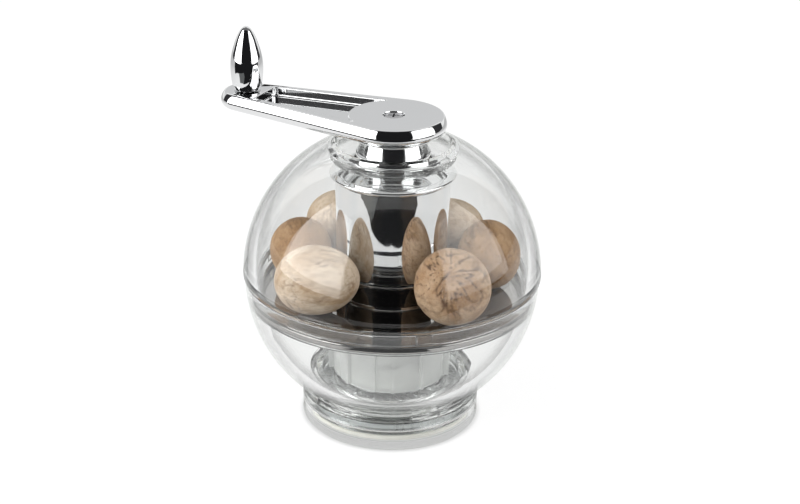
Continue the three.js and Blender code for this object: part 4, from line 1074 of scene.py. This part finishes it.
def mirror_only(name, dark, mirrors=1):
    """Surface that shows only in paths that have met so many mirrors before."""
    material = bpy.data.materials.new(name)
    nodes = Nodes(material, bare=True)
    met = nodes.add("Math", {0: nodes.light_path("Glossy Depth"), 1: mirrors - 0.5}, operation="GREATER_THAN")
    shade = nodes.add("Emission", {"Color": (*dark, 1)})
    nodes.feed(nodes.end, {"Surface": nodes.mixed(met, nodes.add("BsdfTransparent", {}), shade)})
    return material


def card(name, corners, material, mirrors_only=True):
    mesh = bpy.data.meshes.new(name)
    mesh.from_pydata([tuple(corner) for corner in corners], [], [tuple(range(len(corners)))])
    mesh.materials.append(material)
    made = linked(name, mesh)
    if mirrors_only:
        made.visible_camera = made.visible_diffuse = made.visible_shadow = False


def dark_card(name, azimuth, elevation, wide, high, distance, material):
    middle = compass(azimuth, elevation, distance)
    inward = (UP * AIM_HEIGHT - middle).normalized()
    side = inward.cross(UP).normalized()
    up = side.cross(inward) * distance * tan(rad(high / 2))
    side *= distance * tan(rad(wide / 2))
    card(name, [middle - side - up, middle + side - up, middle + side + up, middle - side + up], material)


def off_paper(name, height, tone, corners):
    """Dark ground beyond the paper that the mill stands on, in the photograph's own directions."""
    turn = Matrix.Rotation(rad(90 + FRONT), 3, "Z")
    card(name, [turn @ Vector((x, y, height)) for x, y in corners], tone)


BLACK = mirror_only("front_black", (0.012, 0.012, 0.013))
DIM = mirror_only("side_dark", (0.035, 0.035, 0.037))
BOX_LEVEL = 2.7
softbox("left_box", -157, 54, -2.5, 50, BOX_LEVEL)
softbox("right_box", -23.5, 55, -3.5, 50, BOX_LEVEL * 0.55)
dark_card("front_card", -91, 28, 80, 80, 0.9, BLACK)
dark_card("left_dark_card", 161, 20, 28, 64, 0.95, DIM)
dark_card("right_dark_card", 19, 20, 30, 64, 0.95, DIM)
dark_card("pocket_card", -139, 18, 20, 26, 0.65, mirror_only("pocket_dark", (0.06, 0.06, 0.062), 2))
dark_card("back_card", 90, 52, 84, 38, 0.95, mirror_only("back_pale", (0.95, 0.95, 0.95)))
off_paper("ground_front", 0.0006, BLACK, (
    (-1.2, -1.2), (1.2, -1.2), (1.2, 0), (0.28, 0), (0.27, -0.2), (0.2, -0.205), (0.129, -0.131),
    (0.1275, -0.1235), (0.121, -0.125), (0.08, -0.128), (0.033, -0.13), (-0.007, -0.1365), (-0.048, -0.128),
    (-0.078, -0.119), (-0.1, -0.111), (-0.115, -0.112), (-0.133, -0.106), (-0.156, -0.09), (-0.165, -0.079),
    (-0.24, -0.12), (-0.28, -0.06), (-0.28, 0.02), (-1.2, 0.02)))
off_paper("ground_grey", 0.0012, mirror_only("ground_dim", (0.13, 0.135, 0.135)), (
    (-0.165, -0.0791), (-0.156, -0.0901), (-0.133, -0.1061), (-0.115, -0.1121), (-0.104, -0.1151),
    (-0.1, -0.128), (-0.09, -0.168), (-0.13, -0.23), (-0.24, -0.13)))


def floor():
    """White paper. It glows where camera, mirrors and clear pieces see it; what mirrors see glows less far off, a
    painted falloff of light, and the glow is lower beneath the cap, a painted shadow.
    """
    material = bpy.data.materials.new("pale_floor")
    nodes = Nodes(material, bare=True)
    paper = nodes.add("BsdfDiffuse", {"Color": nodes.ramp(nodes.noise(12), (0.3, (0.80,) * 3), (0.7, (0.83,) * 3))})
    away = nodes.add("VectorMath", {0: nodes.add("TexCoord", {}, "Object")}, "Value", operation="LENGTH")
    glossy = nodes.light_path("Is Glossy Ray")
    # Painted falloff of light: mirrors see a glow of 1.05 that fades to 0.55 between 0.21 and 0.45 m out; camera and
    # clear pieces see 1.2.
    glow_tone_painted_falloff = nodes.add("Mix", {"Factor": glossy, MIX_A: (1.2, 1.2, 1.2, 1),
                             MIX_B: nodes.spread(away, 1.05, 0.55, 0.21, 0.45)}, MIX_OUT, data_type="RGBA")
    seen = nodes.larger(nodes.light_path("Is Camera Ray"), nodes.light_path("Is Transmission Ray"))
    # Painted shadow: the glow is 0.55 within 23 mm of the axis and full beyond 26 mm, beneath and just round the cap.
    beneath = nodes.spread(away, 0.55, 1.0, 0.0231, 0.0258, interpolation_type="SMOOTHSTEP")
    strength = nodes.add("Math", {0: nodes.larger(seen, glossy), 1: beneath}, operation="MULTIPLY")
    glow = nodes.add("Emission", {"Color": glow_tone_painted_falloff, "Strength": strength})
    nodes.feed(nodes.end, {"Surface": nodes.mixed(0.74, paper, glow)})
    card("floor", [(x, y, 0) for x, y in circle(FLOOR_R, 96)], material, mirrors_only=False)


floor()

world = bpy.data.worlds.new("studio")
bpy.context.scene.world = world
sky = Nodes(world, bare=True)
height = sky.add("SeparateXYZ", {"Vector": sky.add("TexCoord", {}, "Generated")}, "Z")


def background(*colour):
    return sky.add("Background", {"Color": (*colour, 1), "Strength": 1})


def above(low, high, under, over):
    """Blends from one background to another between two heights of the direction."""
    return sky.mixed(sky.spread(height, 0, 1, low, high), under, over)


near_ground = background(0.92, 0.925, 0.92)
room = above(0.1, 0.3, near_ground, background(0.66, 0.665, 0.67))
room = above(0.6, 0.85, room, background(0.17, 0.17, 0.175))
behind = above(0.2, 0.5, near_ground, background(0.97, 0.975, 0.97))
behind = above(0.7, 0.95, behind, background(0.86, 0.865, 0.86))
picked = sky.mixed(sky.light_path("Is Glossy Ray"), background(0.4, 0.4, 0.4), room)
picked = sky.mixed(sky.light_path("Is Transmission Ray"), picked, behind)
picked = sky.mixed(sky.light_path("Is Camera Ray"), picked, background(1, 1, 1))
sky.feed(sky.end, {"Surface": picked})

# Camera at the photograph's viewing angle
PITCH, ROLL, FOCAL_PX, PRINCIPAL_X = 0.419054, -0.003668, 1595.3, 330.0
WIDTH_PX = 800
lens = bpy.data.cameras.new("camera")
lens.sensor_fit = "HORIZONTAL"
lens.sensor_width = 36
lens.lens = FOCAL_PX / WIDTH_PX * lens.sensor_width
lens.shift_x = (WIDTH_PX / 2 - PRINCIPAL_X) / WIDTH_PX
lens.clip_start = 0.01
camera = linked("camera", lens)
ahead = Vector((0, cos(PITCH), -sin(PITCH)))
right = Vector((1, 0, 0))
upward = right.cross(ahead)
right, upward = right * cos(ROLL) + upward * sin(ROLL), upward * cos(ROLL) - right * sin(ROLL)
facing = Matrix((right, upward, -ahead)).transposed().to_4x4()
place = Matrix.Translation(Vector((-16.61, -391.26, 221.71)) * MM)
camera.matrix_world = Matrix.Rotation(rad(90 + FRONT), 4, "Z") @ place @ facing
bpy.context.scene.camera = camera

bpy.context.scene.view_settings.view_transform = "Standard"
